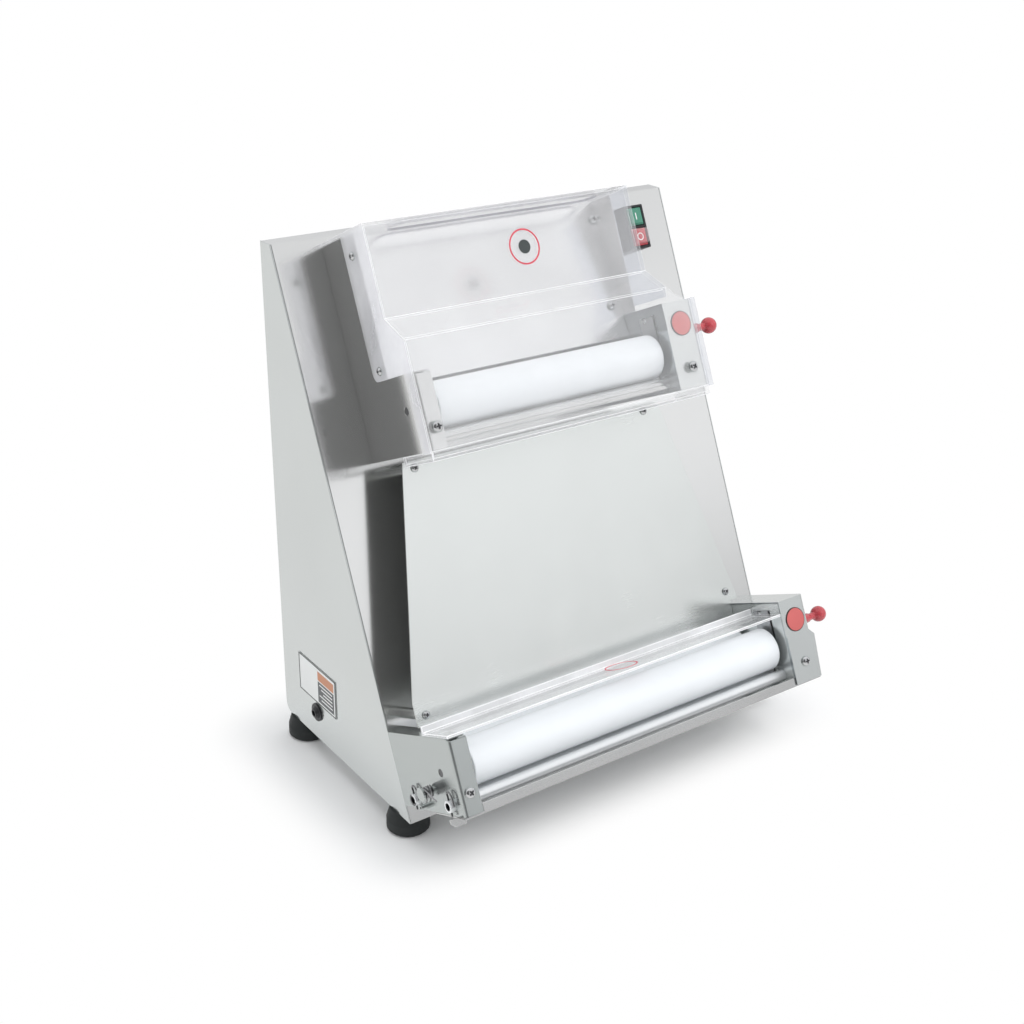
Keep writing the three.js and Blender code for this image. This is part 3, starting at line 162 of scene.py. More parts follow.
def noise(tree, stretch, detail):
    """Noise in the object's own metres, stretched by three factors in the leaning frame."""
    where = tree.nodes.new("ShaderNodeTexCoord")
    mapping = tree.nodes.new("ShaderNodeMapping")
    mapping.inputs["Scale"].default_value = stretch
    mapping.inputs["Rotation"].default_value = (-LEAN, 0, 0)
    grain = tree.nodes.new("ShaderNodeTexNoise")
    grain.inputs["Scale"].default_value = 1.0
    grain.inputs["Detail"].default_value = detail
    tree.links.new(where.outputs["Object"], mapping.inputs["Vector"])
    tree.links.new(mapping.outputs["Vector"], grain.inputs["Vector"])
    return grain.outputs["Fac"]


def spread(tree, source, low, high):
    """The middle of a noise mapped to low and high."""
    return remap(tree, source, (low, high), NOISE_RANGE)


def shades(tree, source, dark, pale, target):
    """A noise runs a colour from dark to pale."""
    ramp = tree.nodes.new("ShaderNodeValToRGB")
    first, last = ramp.color_ramp.elements
    first.position, last.position = SHADE_RANGE
    first.color = (*dark, 1)
    last.color = (*pale, 1)
    tree.links.new(source, ramp.inputs["Fac"])
    tree.links.new(ramp.outputs["Color"], target)


def relief(tree, main, source, height, strength):
    """A bump of the given height in metres."""
    bump = tree.nodes.new("ShaderNodeBump")
    bump.inputs["Distance"].default_value = height
    bump.inputs["Strength"].default_value = strength
    tree.links.new(source, bump.inputs["Height"])
    tree.links.new(bump.outputs["Normal"], main.inputs["Normal"])


def sheet_metal(name, colour, roughness, along, metallic=0.92, vary=0.025):
    """Satin sheet: a fine grain along one axis, a cloudy sheen and a slight change of shade."""
    material, tree, main = shader(name, colour, roughness[0], metallic)
    fine = [GRAIN_ACROSS] * 3
    fine[along] = GRAIN_ALONG
    grain = noise(tree, fine, 2.0)
    clouds = noise(tree, SHEET_CLOUDS, 3.0)
    blend = tree.nodes.new("ShaderNodeMix")
    blend.inputs["Factor"].default_value = CLOUD_SHARE
    tree.links.new(grain, blend.inputs["A"])
    tree.links.new(clouds, blend.inputs["B"])
    tree.links.new(
        spread(tree, blend.outputs["Result"], *roughness), main.inputs["Roughness"]
    )
    shades(
        tree, clouds, [c * (1 - vary) for c in colour],
        [min(1, c * (1 + PALER_SHARE * vary)) for c in colour], main.inputs["Base Color"],
    )
    relief(tree, main, grain, *SHEET_RELIEF)
    return material


def moulded(name, colour, roughness, grain_size, height, vary=0.06, coat=0.0):
    """Moulded plastic or rubber: a fine pebbled skin and a slight change of shade."""
    material, tree, main = shader(name, colour, roughness)
    main.inputs["Coat Weight"].default_value = coat
    skin = noise(tree, (grain_size,) * 3, 2.0)
    clouds = noise(tree, MOULDED_CLOUDS, 3.0)
    dullest = min(1, roughness * (1 + MOULDED_SHEEN_CHANGE))
    tree.links.new(
        spread(tree, clouds, roughness * (1 - MOULDED_SHEEN_CHANGE), dullest),
        main.inputs["Roughness"],
    )
    shades(
        tree, clouds, [c * (1 - vary) for c in colour], [min(1, c * (1 + vary)) for c in colour],
        main.inputs["Base Color"],
    )
    relief(tree, main, skin, height, MOULDED_RELIEF_STRENGTH)
    return material


def clear(name, shade, roughness, veil):
    """Clear polished sheet: what is behind it shows, under a faint veil and a gloss."""
    material = bpy.data.materials.new(name)
    material.use_nodes = True
    tree = material.node_tree
    tree.nodes.remove(tree.nodes["Principled BSDF"])
    through = tree.nodes.new("ShaderNodeBsdfTransparent")
    through.inputs["Color"].default_value = (*shade, 1)
    haze = tree.nodes.new("ShaderNodeBsdfDiffuse")
    haze.inputs["Color"].default_value = (*HAZE, 1)
    haze.inputs["Roughness"].default_value = HAZE_ROUGHNESS
    gloss = tree.nodes.new("ShaderNodeBsdfGlossy")
    gloss.inputs["Color"].default_value = (1, 1, 1, 1)
    gloss.inputs["Roughness"].default_value = roughness
    smears = noise(tree, SMEARS, 4.0)
    veil_share = spread(tree, smears, veil * (1 - SMEAR_CHANGE), veil * (1 + SMEAR_CHANGE))
    body = mixed(tree, veil_share, through.outputs["BSDF"], haze.outputs["BSDF"])
    slant = tree.nodes.new("ShaderNodeLayerWeight")
    slant.inputs["Blend"].default_value = 0.5
    steep = tree.nodes.new("ShaderNodeMath")
    steep.operation = "POWER"
    steep.inputs[1].default_value = GLOSS_STEEPNESS
    tree.links.new(slant.outputs["Facing"], steep.inputs[0])
    gloss_share = remap(tree, steep.outputs["Value"], (LEAST_GLOSS, 1.0))
    whole = mixed(tree, gloss_share, body, gloss.outputs["BSDF"])
    path = tree.nodes.new("ShaderNodeLightPath")
    lit = mixed(tree, path.outputs["Is Shadow Ray"], whole, through.outputs["BSDF"])
    tree.links.new(lit, tree.nodes["Material Output"].inputs["Surface"])
    return material


PALE_STEEL = (0.83, 0.845, 0.835)
CHUTE_STEEL = (0.82, 0.84, 0.82)
INFEED_STEEL = (0.92, 0.915, 0.915)
STEEL = (0.745, 0.77, 0.76)
WARM_STEEL = (0.745, 0.745, 0.735)
DIM_STEEL = (0.57, 0.60, 0.59)
# A darker copy of the sheet steel: painted shade, for faces that lie in shade.
SHADE_STEEL = (0.44, 0.47, 0.48)
SCREW_STEEL = (0.68, 0.685, 0.69)
materials = {
    "front_sheet": sheet_metal("satin sheet, grain across", PALE_STEEL, (0.22, 0.28), 0),
    "chute_sheet": sheet_metal(
        "clouded sheet, grain across", CHUTE_STEEL, (0.2, 0.3), 0, 0.92, 0.07
    ),
    "infeed_sheet": sheet_metal(
        "pale sheet, grain across", INFEED_STEEL, (0.2, 0.28), 0, 0.85, 0.06
    ),
    "mirror_sheet": sheet_metal("bright sheet, grain down", WARM_STEEL, (0.11, 0.16), 2, 0.91),
    "dim_sheet": sheet_metal("dimmer sheet, grain down", DIM_STEEL, (0.2, 0.27), 2),
    "side_sheet": sheet_metal("satin sheet, grain down", STEEL, (0.2, 0.26), 2),
    "bright": sheet_metal("polished steel", (0.88, 0.89, 0.895), (0.1, 0.16), 0),
    "bar": sheet_metal("satin bar", (0.9, 0.915, 0.925), (0.3, 0.36), 0, 0.55),
    "screw": sheet_metal("screw steel", SCREW_STEEL, (0.1, 0.16), 0, 1.0),
    "wire": sheet_metal("spring wire", (0.36, 0.36, 0.365), (0.16, 0.24), 0, 1.0),
    # Dark grey for the insides of tubes and holes: painted shade.
    "bore": sheet_metal("painted shade inside a hole", (0.2, 0.2, 0.205), (0.3, 0.4), 0, 1.0),
    "shade_sheet": sheet_metal("painted shade, sheet grain down", SHADE_STEEL, (0.2, 0.27), 2),
    # Near-black for the faces inside the screws' cross: painted shade in the recess.
    "recess": moulded("painted shade in screw recess", (0.07, 0.07, 0.075), 0.35, 900, 0.00001, 0.05),
    "machined": sheet_metal("machined steel", (0.52, 0.53, 0.54), (0.25, 0.4), 1),
    "white": moulded("white roller plastic", (0.85, 0.875, 0.9), 0.38, 900, 0.00002, 0.012),
    "clear": clear("clear sheet", (0.985, 0.985, 0.985), 0.04, 0.11),
    # A near-white haze for the rounded edges of clear parts: painted highlight.
    "clear_edge_highlight": clear("painted highlight on clear sheet edge", (0.97, 0.975, 0.98), 0.15, 0.96),
    "clear_side": clear("hazed clear sheet", (0.97, 0.97, 0.985), 0.1, 0.32),
    # A grey tint for the hood's right wall: painted shade.
    "clear_far_side_shade": clear("painted shade, grey tint on clear wall", (0.83, 0.845, 0.88), 0.1, 0.12),
    # A whiter haze for the guard's flange: painted light.
    "clear_flange_light": clear("painted light, whiter haze on clear flange", (0.97, 0.975, 0.98), 0.1, 0.55),
    # A dark tint for the rim round the hood's slot: painted shade.
    "clear_rim_shade": clear("painted shade on clear slot rim", (0.2, 0.19, 0.25), 0.1, 0.1),
    "red": moulded("red plastic", (0.52, 0.06, 0.075), 0.24, 500, 0.00001, 0.05, 0.5),
    "disc_red": moulded("red disc", (0.6, 0.13, 0.125), 0.4, 700, 0.00001, 0.04),
    "dark_line": moulded("disc rim", (0.05, 0.03, 0.03), 0.5, 700, 0.00001, 0.04),
    "green": moulded("green plastic", (0.07, 0.26, 0.18), 0.25, 500, 0.00001, 0.05),
    "black": moulded("black plastic", (0.018, 0.019, 0.021), 0.38, 800, 0.00003),
    "rubber": moulded("black rubber", (0.013, 0.016, 0.016), 0.62, 650, 0.00006, 0.15),
    "label": moulded("pale foil", (0.80, 0.81, 0.80), 0.42, 900, 0.00001, 0.02),
    "label_ink": moulded("dark print", (0.05, 0.06, 0.06), 0.5, 900, 0.00001, 0.02),
    "label_grey": moulded("grey print", (0.13, 0.135, 0.14), 0.5, 900, 0.00001, 0.02),
    "label_band": moulded("clay print", (0.58, 0.27, 0.16), 0.5, 900, 0.00001, 0.02),
    "paint": moulded("grey enamel", (0.10, 0.12, 0.14), 0.4, 400, 0.00004, 0.05, 0.3),
    "mark_white": moulded("white print", (0.85, 0.85, 0.85), 0.4, 700, 0.00001, 0.02),
    "mark_red": moulded("red print", (0.70, 0.055, 0.09), 0.45, 900, 0.00001, 0.02),
}
LOOK_OF_SLOT = {
    "stainless_sheet": "front_sheet",
    "polished_steel": "bright",
    "machined_steel": "machined",
    "white_plastic": "white",
    "clear_plastic": "clear",
    "red_plastic": "red",
    "green_plastic": "green",
    "black_plastic": "black",
    "rubber": "rubber",
    "label": "label",
    "motor_paint": "paint",
}


# Meshes

SHARP_ANGLE = 35.0


def add_object(name, bm, look, body="root", smooth_angle=SHARP_ANGLE):
    """A finished mesh as a piece that rides on a CAD body."""
    mesh = bpy.data.meshes.new(name)
    bm.to_mesh(mesh)
    bm.free()
    for polygon in mesh.polygons:
        polygon.use_smooth = True
    mesh.set_sharp_from_angle(angle=math.radians(smooth_angle))
    piece = bpy.data.objects.new(name, mesh)
    bpy.context.scene.collection.objects.link(piece)
    piece.data.materials.append(materials[look])
    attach(piece, body)
    return piece


def soften(piece, width, segments):
    """Rounds sharp edges by a width in mm, and keeps flat faces flat in the light."""
    bevel = piece.modifiers.new("edges", "BEVEL")
    bevel.width = width * MM
    bevel.segments = segments
    bevel.limit_method = "ANGLE"
    bevel.angle_limit = math.radians(SHARP_ANGLE)
    normals = piece.modifiers.new("normals", "WEIGHTED_NORMAL")
    normals.keep_sharp = True


def turned_mesh(profile, start, axis, steps):
    """A closed solid of revolution. Profile points are (distance along the axis, radius) in mm."""
    bm = bmesh.new()
    side = axis.orthogonal().normalized()
    other = axis.cross(side)
    rings = []
    for along, radius in profile:
        centre = start + axis * along * MM
        if radius == 0:
            rings.append([bm.verts.new(centre)])
            continue
        rings.append([
            bm.verts.new(centre + (side * math.cos(a) + other * math.sin(a)) * radius * MM)
            for a in (math.tau * i / steps for i in range(steps))
        ])
    for one, two in zip(rings, rings[1:]):
        for i in range(steps):
            j = (i + 1) % steps
            corners = [one[i % len(one)], one[j % len(one)], two[j % len(two)], two[i % len(two)]]
            unique = list(dict.fromkeys(corners))
            if len(unique) > 2:
                bm.faces.new(unique)
    for ring in (rings[0], rings[-1]):
        if len(ring) > 1:
            bm.faces.new(ring)
    bmesh.ops.recalc_face_normals(bm, faces=bm.faces)
    return bm


def arc(centre, radius, start, end, steps):
    """Profile points on an arc, from start to end in degrees, as (along, radius)."""
    points = []
    for i in range(steps + 1):
        angle = math.radians(start + (end - start) * i / steps)
        points.append((centre[0] + radius * math.cos(angle), centre[1] + radius * math.sin(angle)))
    return points


# Screws: a washer and a pan head with a cross recess, sizes in mm

SCREW_RADIUS = 5.6
SCREW_HEIGHT = 3.0
SCREW_EDGE = 0.6
SCREW_SKIRT = 0.55
SCREW_STEPS = 40
SCREW_RINGS = 14
CROWN_SHAPE = (2.6, 0.62)
LEAST_CROWN = 0.3
CROSS_HALF = 0.72
CROSS_REACH = 3.0
CROSS_DEPTH = 1.5
CROSS_MOUTH = 0.25
CROSS_SIDE_SLOPE = 0.3
CROSS_END_SLOPE = 0.9
WASHER_RADIUS = 6.3
WASHER_HEIGHT = 1.0
WASHER_FOOT = 0.05
WASHER_CHAMFER = 0.35


def in_cross(x, y):
    """How far into the cross a point is, from 0 outside to 1."""
    depth = 0.0
    for a, b in ((abs(x), abs(y)), (abs(y), abs(x))):
        across = min(1.0, max(0.0, (CROSS_HALF + CROSS_MOUTH - a) / CROSS_SIDE_SLOPE))
        along = min(1.0, max(0.0, (CROSS_REACH - b) / CROSS_END_SLOPE))
        depth = max(depth, across * along)
    return depth


def crown(x, y):
    """Height of the head's top over its own edge, with the cross cut into it."""
    share = min(1.0, math.hypot(x, y) / SCREW_RADIUS)
    top = SCREW_HEIGHT * (1 - share ** CROWN_SHAPE[0]) ** CROWN_SHAPE[1]
    return max(LEAST_CROWN, top - CROSS_DEPTH * in_cross(x, y))


def screw(name, centre, axis, scale, turn):
    """The head lies on the washer; both are pieces of one screw."""
    side = axis.orthogonal().normalized()
    side = Matrix.Rotation(turn, 3, axis) @ side
    other = axis.cross(side)
    washer = [
        (WASHER_FOOT, 0),
        (WASHER_FOOT, WASHER_RADIUS * scale),
        (WASHER_HEIGHT * 0.7, WASHER_RADIUS * scale),
        (WASHER_HEIGHT, WASHER_RADIUS * scale - WASHER_CHAMFER),
        (WASHER_HEIGHT, 0),
    ]
    add_object(name + ".washer", turned_mesh(washer, centre, axis, 32), "dim_sheet")
    bm = bmesh.new()
    base = centre + axis * WASHER_HEIGHT * MM
    rings = [[bm.verts.new(base + axis * crown(0, 0) * scale * MM)]]
    for r in range(1, SCREW_RINGS + 1):
        radius = SCREW_RADIUS * r / SCREW_RINGS
        ring = []
        for i in range(SCREW_STEPS):
            a = math.tau * i / SCREW_STEPS
            x, y = radius * math.cos(a), radius * math.sin(a)
            lift = crown(x, y) if r < SCREW_RINGS else SCREW_EDGE
            point = (side * x + other * y + axis * lift) * scale * MM
            ring.append(bm.verts.new(base + point))
        rings.append(ring)
    skirt = [bm.verts.new(v.co - axis * (SCREW_SKIRT * scale) * MM) for v in rings[-1]]
    rings.append(skirt)
    for one, two in zip(rings, rings[1:]):
        for i in range(SCREW_STEPS):
            j = (i + 1) % SCREW_STEPS
            corners = [one[i % len(one)], two[i], two[j], one[j % len(one)]]
            face = bm.faces.new(list(dict.fromkeys(corners)))
            middle = (face.calc_center_median() - base) / (scale * MM)
            # Faces inside the cross take the near-black second material: painted shade in the
            # recess.
            if in_cross(middle.dot(side), middle.dot(other)) and two is not skirt:
                face.material_index = 1
    bm.faces.new(list(reversed(skirt)))
    bmesh.ops.recalc_face_normals(bm, faces=bm.faces)
    head = add_object(name + ".head", bm, "screw", smooth_angle=50)
    head.data.materials.append(materials["recess"])


HOOD_FRONT = 132.2
HOOD_LEFT = -210.1
HOOD_RIGHT = 131.3
CHUTE_FACE = 45.0
CHEEK_SCREW = 21.6
COVER_FACE = 194.2
COVER_INSET = 14
SMALL = 0.75
screw_places = {
    "upper_hood": [
        ("hood_left_top", place(HOOD_LEFT, 34.6, 69), -ACROSS, SMALL),
        ("hood_left_low", place(HOOD_LEFT, 155, 69), -ACROSS, SMALL),
        ("hood_right_top", place(HOOD_RIGHT, 34.6, 29), ACROSS, SMALL),
        ("hood_right_low", place(HOOD_RIGHT, 133, 29), ACROSS, SMALL),
        ("hood_front_left", place(-195.8, UPPER_AXIS + CHEEK_SCREW, HOOD_FRONT), OUT, 1.0),
        ("hood_front_right", place(143.35, UPPER_AXIS + CHEEK_SCREW, HOOD_FRONT), OUT, 1.0),
    ],
    "lower_left_side_plate": [
        ("lower_left", place(-254, LOWER_AXIS + CHEEK_SCREW, 128), OUT, 1.0),
    ],
    "lower_gear_cover": [
        ("lower_right", place(212.95, LOWER_AXIS + CHEEK_SCREW, 130), OUT, 1.0),
    ],
    "chute_plate": [
        (f"chute_{i}", place(x, u, CHUTE_FACE), OUT, SMALL)
        for i, (x, u) in enumerate(((-184, 260), (128.5, 260), (-239, 513), (189, 493)))
    ],
}
cover_foot, cover_top = (corner.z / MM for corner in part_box("back_cover"))
cover_rows = (cover_foot + COVER_INSET, (cover_foot + cover_top) / 2, cover_top - COVER_INSET)
screw_places["back_cover"] = [
    (f"cover_{i}_{j}", Vector((x, COVER_FACE, z)) * MM, Vector((0, 1, 0)), SMALL)
    for i, x in enumerate((-249.1, 252.4))
    for j, z in enumerate(cover_rows)
]

for number, places in enumerate(screw_places.values()):
    for step, (name, centre, axis, scale) in enumerate(places):
        screw("screw." + name, centre, axis, scale, 0.35 + 0.9 * step + number)


# CAD nodes with softened edges

SHEET_LOOK = {
    "left_side_panel": "side_sheet",
    "right_side_panel": "side_sheet",
    "front_panel": "mirror_sheet",
    "upper_left_side_plate": "mirror_sheet",
    "lower_left_side_plate": "dim_sheet",
    "upper_gear_cover": "front_sheet",
    "lower_gear_cover": "side_sheet",
    "upper_left_bearing_plate": "side_sheet",
    # Darker than the other bearing plates: painted shade.
    "upper_right_bearing_plate": "shade_sheet",
    "lower_left_bearing_plate": "side_sheet",
    "lower_right_bearing_plate": "side_sheet",
    "lower_outlet_tray": "mirror_sheet",
    "chute_plate": "chute_sheet",
    "infeed_plate": "infeed_sheet",
    "upper_front_scraper": "mirror_sheet",
    "lower_front_scraper": "bar",
    "upper_rear_scraper": "bar",
    "lower_rear_scraper": "bar",
    "scraper_spring": "wire",
    "front_scraper_clip": "wire",
    "rear_scraper_clip": "wire",
}
PAINTED_SHADE_AND_LIGHT_FACES = {
    # The guard's flange faces take a whiter haze than the rest of the guard: painted light.
    "lower_guard": ("clear_flange_light", OUT),
    # The gear covers' side faces take the darker shade_sheet: painted shade.
    "upper_gear_cover": ("shade_sheet", ACROSS),
    "lower_gear_cover": ("shade_sheet", ACROSS),
}
EDGE = {
    "upper_hood": (3.4, 4),
    "lower_guard": (0.8, 3),
    "upper_outlet_tray": (0.8, 3),
    "upper_front_roller": (1.2, 3),
    "upper_rear_roller": (1.2, 3),
    "lower_front_roller": (1.2, 3),
    "lower_rear_roller": (1.2, 3),
    "switch_housing": (0.8, 3),
    "switch_on_button": (0.8, 3),
    "switch_off_button": (0.8, 3),
    "gearmotor": (1.5, 3),
    "side_label": (0.15, 1),
    "scraper_spring": (0, 0),
    "front_scraper_clip": (0, 0),
    "rear_scraper_clip": (0, 0),
    "drive_chain": (0.2, 1),
}
USUAL_EDGE = (0.35, 2)
REBUILT = {"upper_gap_knob", "lower_gap_knob", "upper_red_disc", "lower_red_disc"}
ALONG = 0.9  # least cosine of a face that counts as looking along an axis
SCREW_REACH = 7
SCREW_HEIGHTS = (0.0002, 0.008)
SAME_POINT = 1e-6
SAME_POINT_AFTER_FLATTENING = 5e-6
FLAT_ANGLE = 0.5
CLIP_KEPT = 21
CLIP_PULL = 0.55
GLAND_SHARE = 0.6
WIRE_GROWTH = 0.00018
BORE_REACH = 0.0044
BORE_RING = 0.0005
HOOD_RIM = 0.0034
HOOD_BEND = 18
RIM_WEIGHT = 0.25
SLOT_BELOW = 12
SLOT_OUT = (40, 80)


def flatten(bm, centre, axis, radius, low, high):
    """Presses what stands out near an axis down flat, for a detailed piece to cover it."""
    for vertex in bm.verts:
        offset = vertex.co - centre
        height = offset.dot(axis)
        if low < height < high and (offset - axis * height).length < radius:
            vertex.co -= axis * (height - low)


def paint_faces(piece, look, axis):
    """A look of their own for the faces that look along an axis, either way: painted shade or
    painted light on those faces.
    """
    piece.data.materials.append(materials[look])
    index = len(piece.data.materials) - 1
    for polygon in piece.data.polygons:
        if abs(polygon.normal.dot(axis)) > ALONG:
            polygon.material_index = index


def darken_bore(scraper):
    """Painted shade: the inside faces of the scraper's tube get a dark grey."""
    scraper.data.materials.append(materials["bore"])
    end = min(vertex.co.x for vertex in scraper.data.vertices)
    ring = [vertex.co for vertex in scraper.data.vertices if vertex.co.x < end + BORE_RING]
    axis = sum(ring, Vector()) / len(ring)
    for polygon in scraper.data.polygons:
        across = polygon.center - axis
        across.x = 0
        if across.length < BORE_REACH and across.dot(polygon.normal) < 0:
            polygon.material_index = 1


def shorten(clip):
    """Draws the bowed end of a wire clip in towards its tube."""
    depths = [(vertex.co - place(0, 0, 0)).dot(DOWN) / MM for vertex in clip.data.vertices]
    start = max(depths) - CLIP_KEPT
    for vertex, depth in zip(clip.data.vertices, depths):
        if depth < start:
            vertex.co += DOWN * (start - depth) * CLIP_PULL * MM


def draw_in(gland):
    """Draws the outer part of the cable gland in towards the side panel."""
    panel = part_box("left_side_panel")[0].x
    for vertex in gland.data.vertices:
        if vertex.co.x < panel:
            vertex.co.x = panel + (vertex.co.x - panel) * GLAND_SHARE


def dress_hood(hood):
    """Wide soft bends, narrow rims and hazed side walls; a grey tint on the right wall and a dark
    tint round the slot, both painted shade.
    """
    for look in ("clear_side", "clear_rim_shade", "clear_far_side_shade"):
        hood.data.materials.append(materials[look])
    # The right wall's grey tint is painted shade.
    left_wall, slot_rim_shade, shaded_right_wall = 2, 3, 4
    bm = bmesh.new()
    bm.from_mesh(hood.data)
    weight = bm.edges.layers.float.new("bevel_weight_edge")
    top = place(0, 0, 0)
    rims = set()
    for face in bm.faces:
        thin = 2 * face.calc_area() / face.calc_perimeter() < HOOD_RIM
        middle = face.calc_center_median() - top
        from_top, out = middle.dot(DOWN) / MM, middle.dot(OUT) / MM
        if thin:
            rims.add(face)
        # The rim round the slot takes a dark tint: painted shade.
        if thin and from_top < SLOT_BELOW and SLOT_OUT[0] < out < SLOT_OUT[1]:
            face.material_index = slot_rim_shade
        elif abs(face.normal.x) > ALONG and not thin:
            face.material_index = left_wall if middle.x < 0 else shaded_right_wall
    for edge in bm.edges:
        if len(edge.link_faces) == 2 and edge.calc_face_angle(0) > math.radians(HOOD_BEND):
            edge[weight] = RIM_WEIGHT if rims & set(edge.link_faces) else 1.0
    bm.to_mesh(hood.data)
    bm.free()
    hood.modifiers["edges"].limit_method = "WEIGHT"


SPECIAL_DRESS = {
    "upper_hood": dress_hood,
    "front_scraper_clip": shorten,
    "rear_scraper_clip": shorten,
    "lower_front_scraper": darken_bore,
    "lower_rear_scraper": darken_bore,
    "cable_gland": draw_in,
}


def dress(node):
    """A copy of a CAD node with softened edges, in its place. Its screw heads are pressed flat."""
    source = frame["nodes"][node]
    bm = bmesh.new()
    bm.from_mesh(source.data)
    bmesh.ops.remove_doubles(bm, verts=bm.verts, dist=SAME_POINT)
    for _, centre, axis, scale in screw_places.get(node, ()):
        flatten(bm, centre, axis, SCREW_REACH * scale * MM, *SCREW_HEIGHTS)
    bmesh.ops.remove_doubles(bm, verts=bm.verts, dist=SAME_POINT_AFTER_FLATTENING)
    bmesh.ops.dissolve_limit(
        bm, angle_limit=math.radians(FLAT_ANGLE), verts=bm.verts, edges=bm.edges
    )
    bmesh.ops.recalc_face_normals(bm, faces=bm.faces)
    look = SHEET_LOOK.get(node) or LOOK_OF_SLOT[source.data.materials[0].name]
    piece = add_object(node + ".dressed", bm, look, source["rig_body"])
    width, segments = EDGE.get(node, USUAL_EDGE)
    if width:
        soften(piece, width, segments)
    # The rounded edges of clear parts take a near-white haze: painted highlight.
    if look == "clear":
        piece.data.materials.append(materials["clear_edge_highlight"])
        piece.modifiers["edges"].material = 1
    if node in PAINTED_SHADE_AND_LIGHT_FACES:
        paint_faces(piece, *PAINTED_SHADE_AND_LIGHT_FACES[node])
    if node in SPECIAL_DRESS:
        SPECIAL_DRESS[node](piece)
    if look == "wire":
        for vertex in piece.data.vertices:
            vertex.co += vertex.normal * WIRE_GROWTH
    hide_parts(node)


for node in sorted(frame["nodes"]):
    if node not in REBUILT:
        dress(node)


# Knobs: a sleeve and a ball on a short neck

BALL = 9.4


def knob(prefix):
    """A knob in place of the CAD's."""
    low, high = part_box(prefix + "_gap_knob")
    reach = (high.x - low.x) / MM
    start = Vector((low.x, (low.y + high.y) / 2, (low.z + high.z) / 2))
    profile = [
        (0, 0), (0, 5.6), *arc((1, 5.5), 1.0, 180, 90, 4),
        *arc((5, 5.9), 0.6, 90, 60, 2), (8, 6.2), (17.5, 5.5), (18.6, 4.7), (19.2, 4.2),
        *arc((reach - BALL, 0), BALL, 153, 0, 22),
    ]
    profile[-1] = (reach, 0)
    bm = turned_mesh(profile, start, ACROSS, 56)
    piece = add_object(prefix + "_knob_grip", bm, "red", prefix + "_knob", 60)
    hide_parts(prefix + "_gap_knob")


for prefix in ("upper", "lower"):
    knob(prefix)


# Discs: a thin dark rim and the red face

DISC_SINK = 0.3
DISC_RIM = [(0, 0), (0, 14), (0.45, 14), (0.6, 13.8), (0.6, 0)]
DISC_FACE = [(0.55, 0), (0.55, 13.1), (0.78, 13.0), (0.8, 12.8), (0.8, 0)]


def disc(prefix):
    """A disc in place of the CAD's."""
    low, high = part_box(prefix + "_red_disc")
    back = (low + high) / 2 - OUT * DISC_SINK * MM
    border = add_object(prefix + "_disc_rim", turned_mesh(DISC_RIM, back, OUT, 72), "dark_line")
    add_object(prefix + "_disc_face", turned_mesh(DISC_FACE, back, OUT, 72), "disc_red")
    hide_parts(prefix + "_red_disc")


for prefix in ("upper", "lower"):
    disc(prefix)


# Dark discs in the sight holes of the left cheeks: painted shade of the holes' insides

SIGHT_HOLE_SHADE = [(0, 0), (0, 4.4), (0.4, 4.4), (0.6, 4.2), (0.6, 0)]
SIGHT_DEPTH = 1.1
SIGHT_OUT = 97.5
for name, x, u in (
    ("upper_sight_hole_shade", UPPER_CHEEK_X, UPPER_AXIS), ("lower_sight_hole_shade", LOWER_CHEEK_X, LOWER_AXIS)
):
    centre = place(x + SIGHT_DEPTH, u, SIGHT_OUT)
    add_object(name, turned_mesh(SIGHT_HOLE_SHADE, centre, -ACROSS, 32), "bore")


# Plain round marks where the machine's sheets carry printed signs

MARK_STEPS = 72
MARK_HEIGHT = 0.12
MARK_RADIUS = 19.5
MARK_DOT = [(0, 0), (0, 7.5), (0.1, 7.5), (0.1, 0)]
GUARD_MARK_RADIUS = 18.5
MARK_WIDTH = 1.7


def ring_mark(name, centre, axis, radius, width, look="mark_red", body="root"):
    """A thin printed ring."""
    bm = bmesh.new()
    side = axis.orthogonal().normalized()
    other = axis.cross(side)
    inner = radius - width
    loops = []
    for r, h in ((radius, 0), (radius, MARK_HEIGHT), (inner, MARK_HEIGHT), (inner, 0)):
        loops.append([
            bm.verts.new(
                centre + ((side * math.cos(a) + other * math.sin(a)) * r + axis * h) * MM
            )
            for a in (math.tau * i / MARK_STEPS for i in range(MARK_STEPS))
        ])
    for one, two in zip(loops, loops[1:] + loops[:1]):
        for i in range(MARK_STEPS):
            j = (i + 1) % MARK_STEPS
            bm.faces.new([one[i], one[j], two[j], two[i]])
    bmesh.ops.recalc_face_normals(bm, faces=bm.faces)
    add_object(name, bm, look, body, 40)


hood_mark = place(-23, 57.5, 103.05)
ring_mark("hood_mark_ring", hood_mark, OUT, MARK_RADIUS, MARK_WIDTH)
add_object("hood_mark_dot", turned_mesh(MARK_DOT, hood_mark, OUT, 64), "label_ink")
guard_mark = place(-20, LOWER_AXIS - 40.35, 98)
ring_mark("guard_mark_ring", guard_mark, -DOWN, GUARD_MARK_RADIUS, MARK_WIDTH)


# Two small screws on the infeed plate

plate_out = (OUT * 160.7 - DOWN * 24).normalized()
for number, spot in enumerate(((123.0, 31.6, 40.2), (110.1, 134.1, 55.4)), 1):
    screw(f"infeed_screw_{number}", place(*spot), plate_out, 0.8, 0.4 * number)


# Plain on and off marks on the buttons

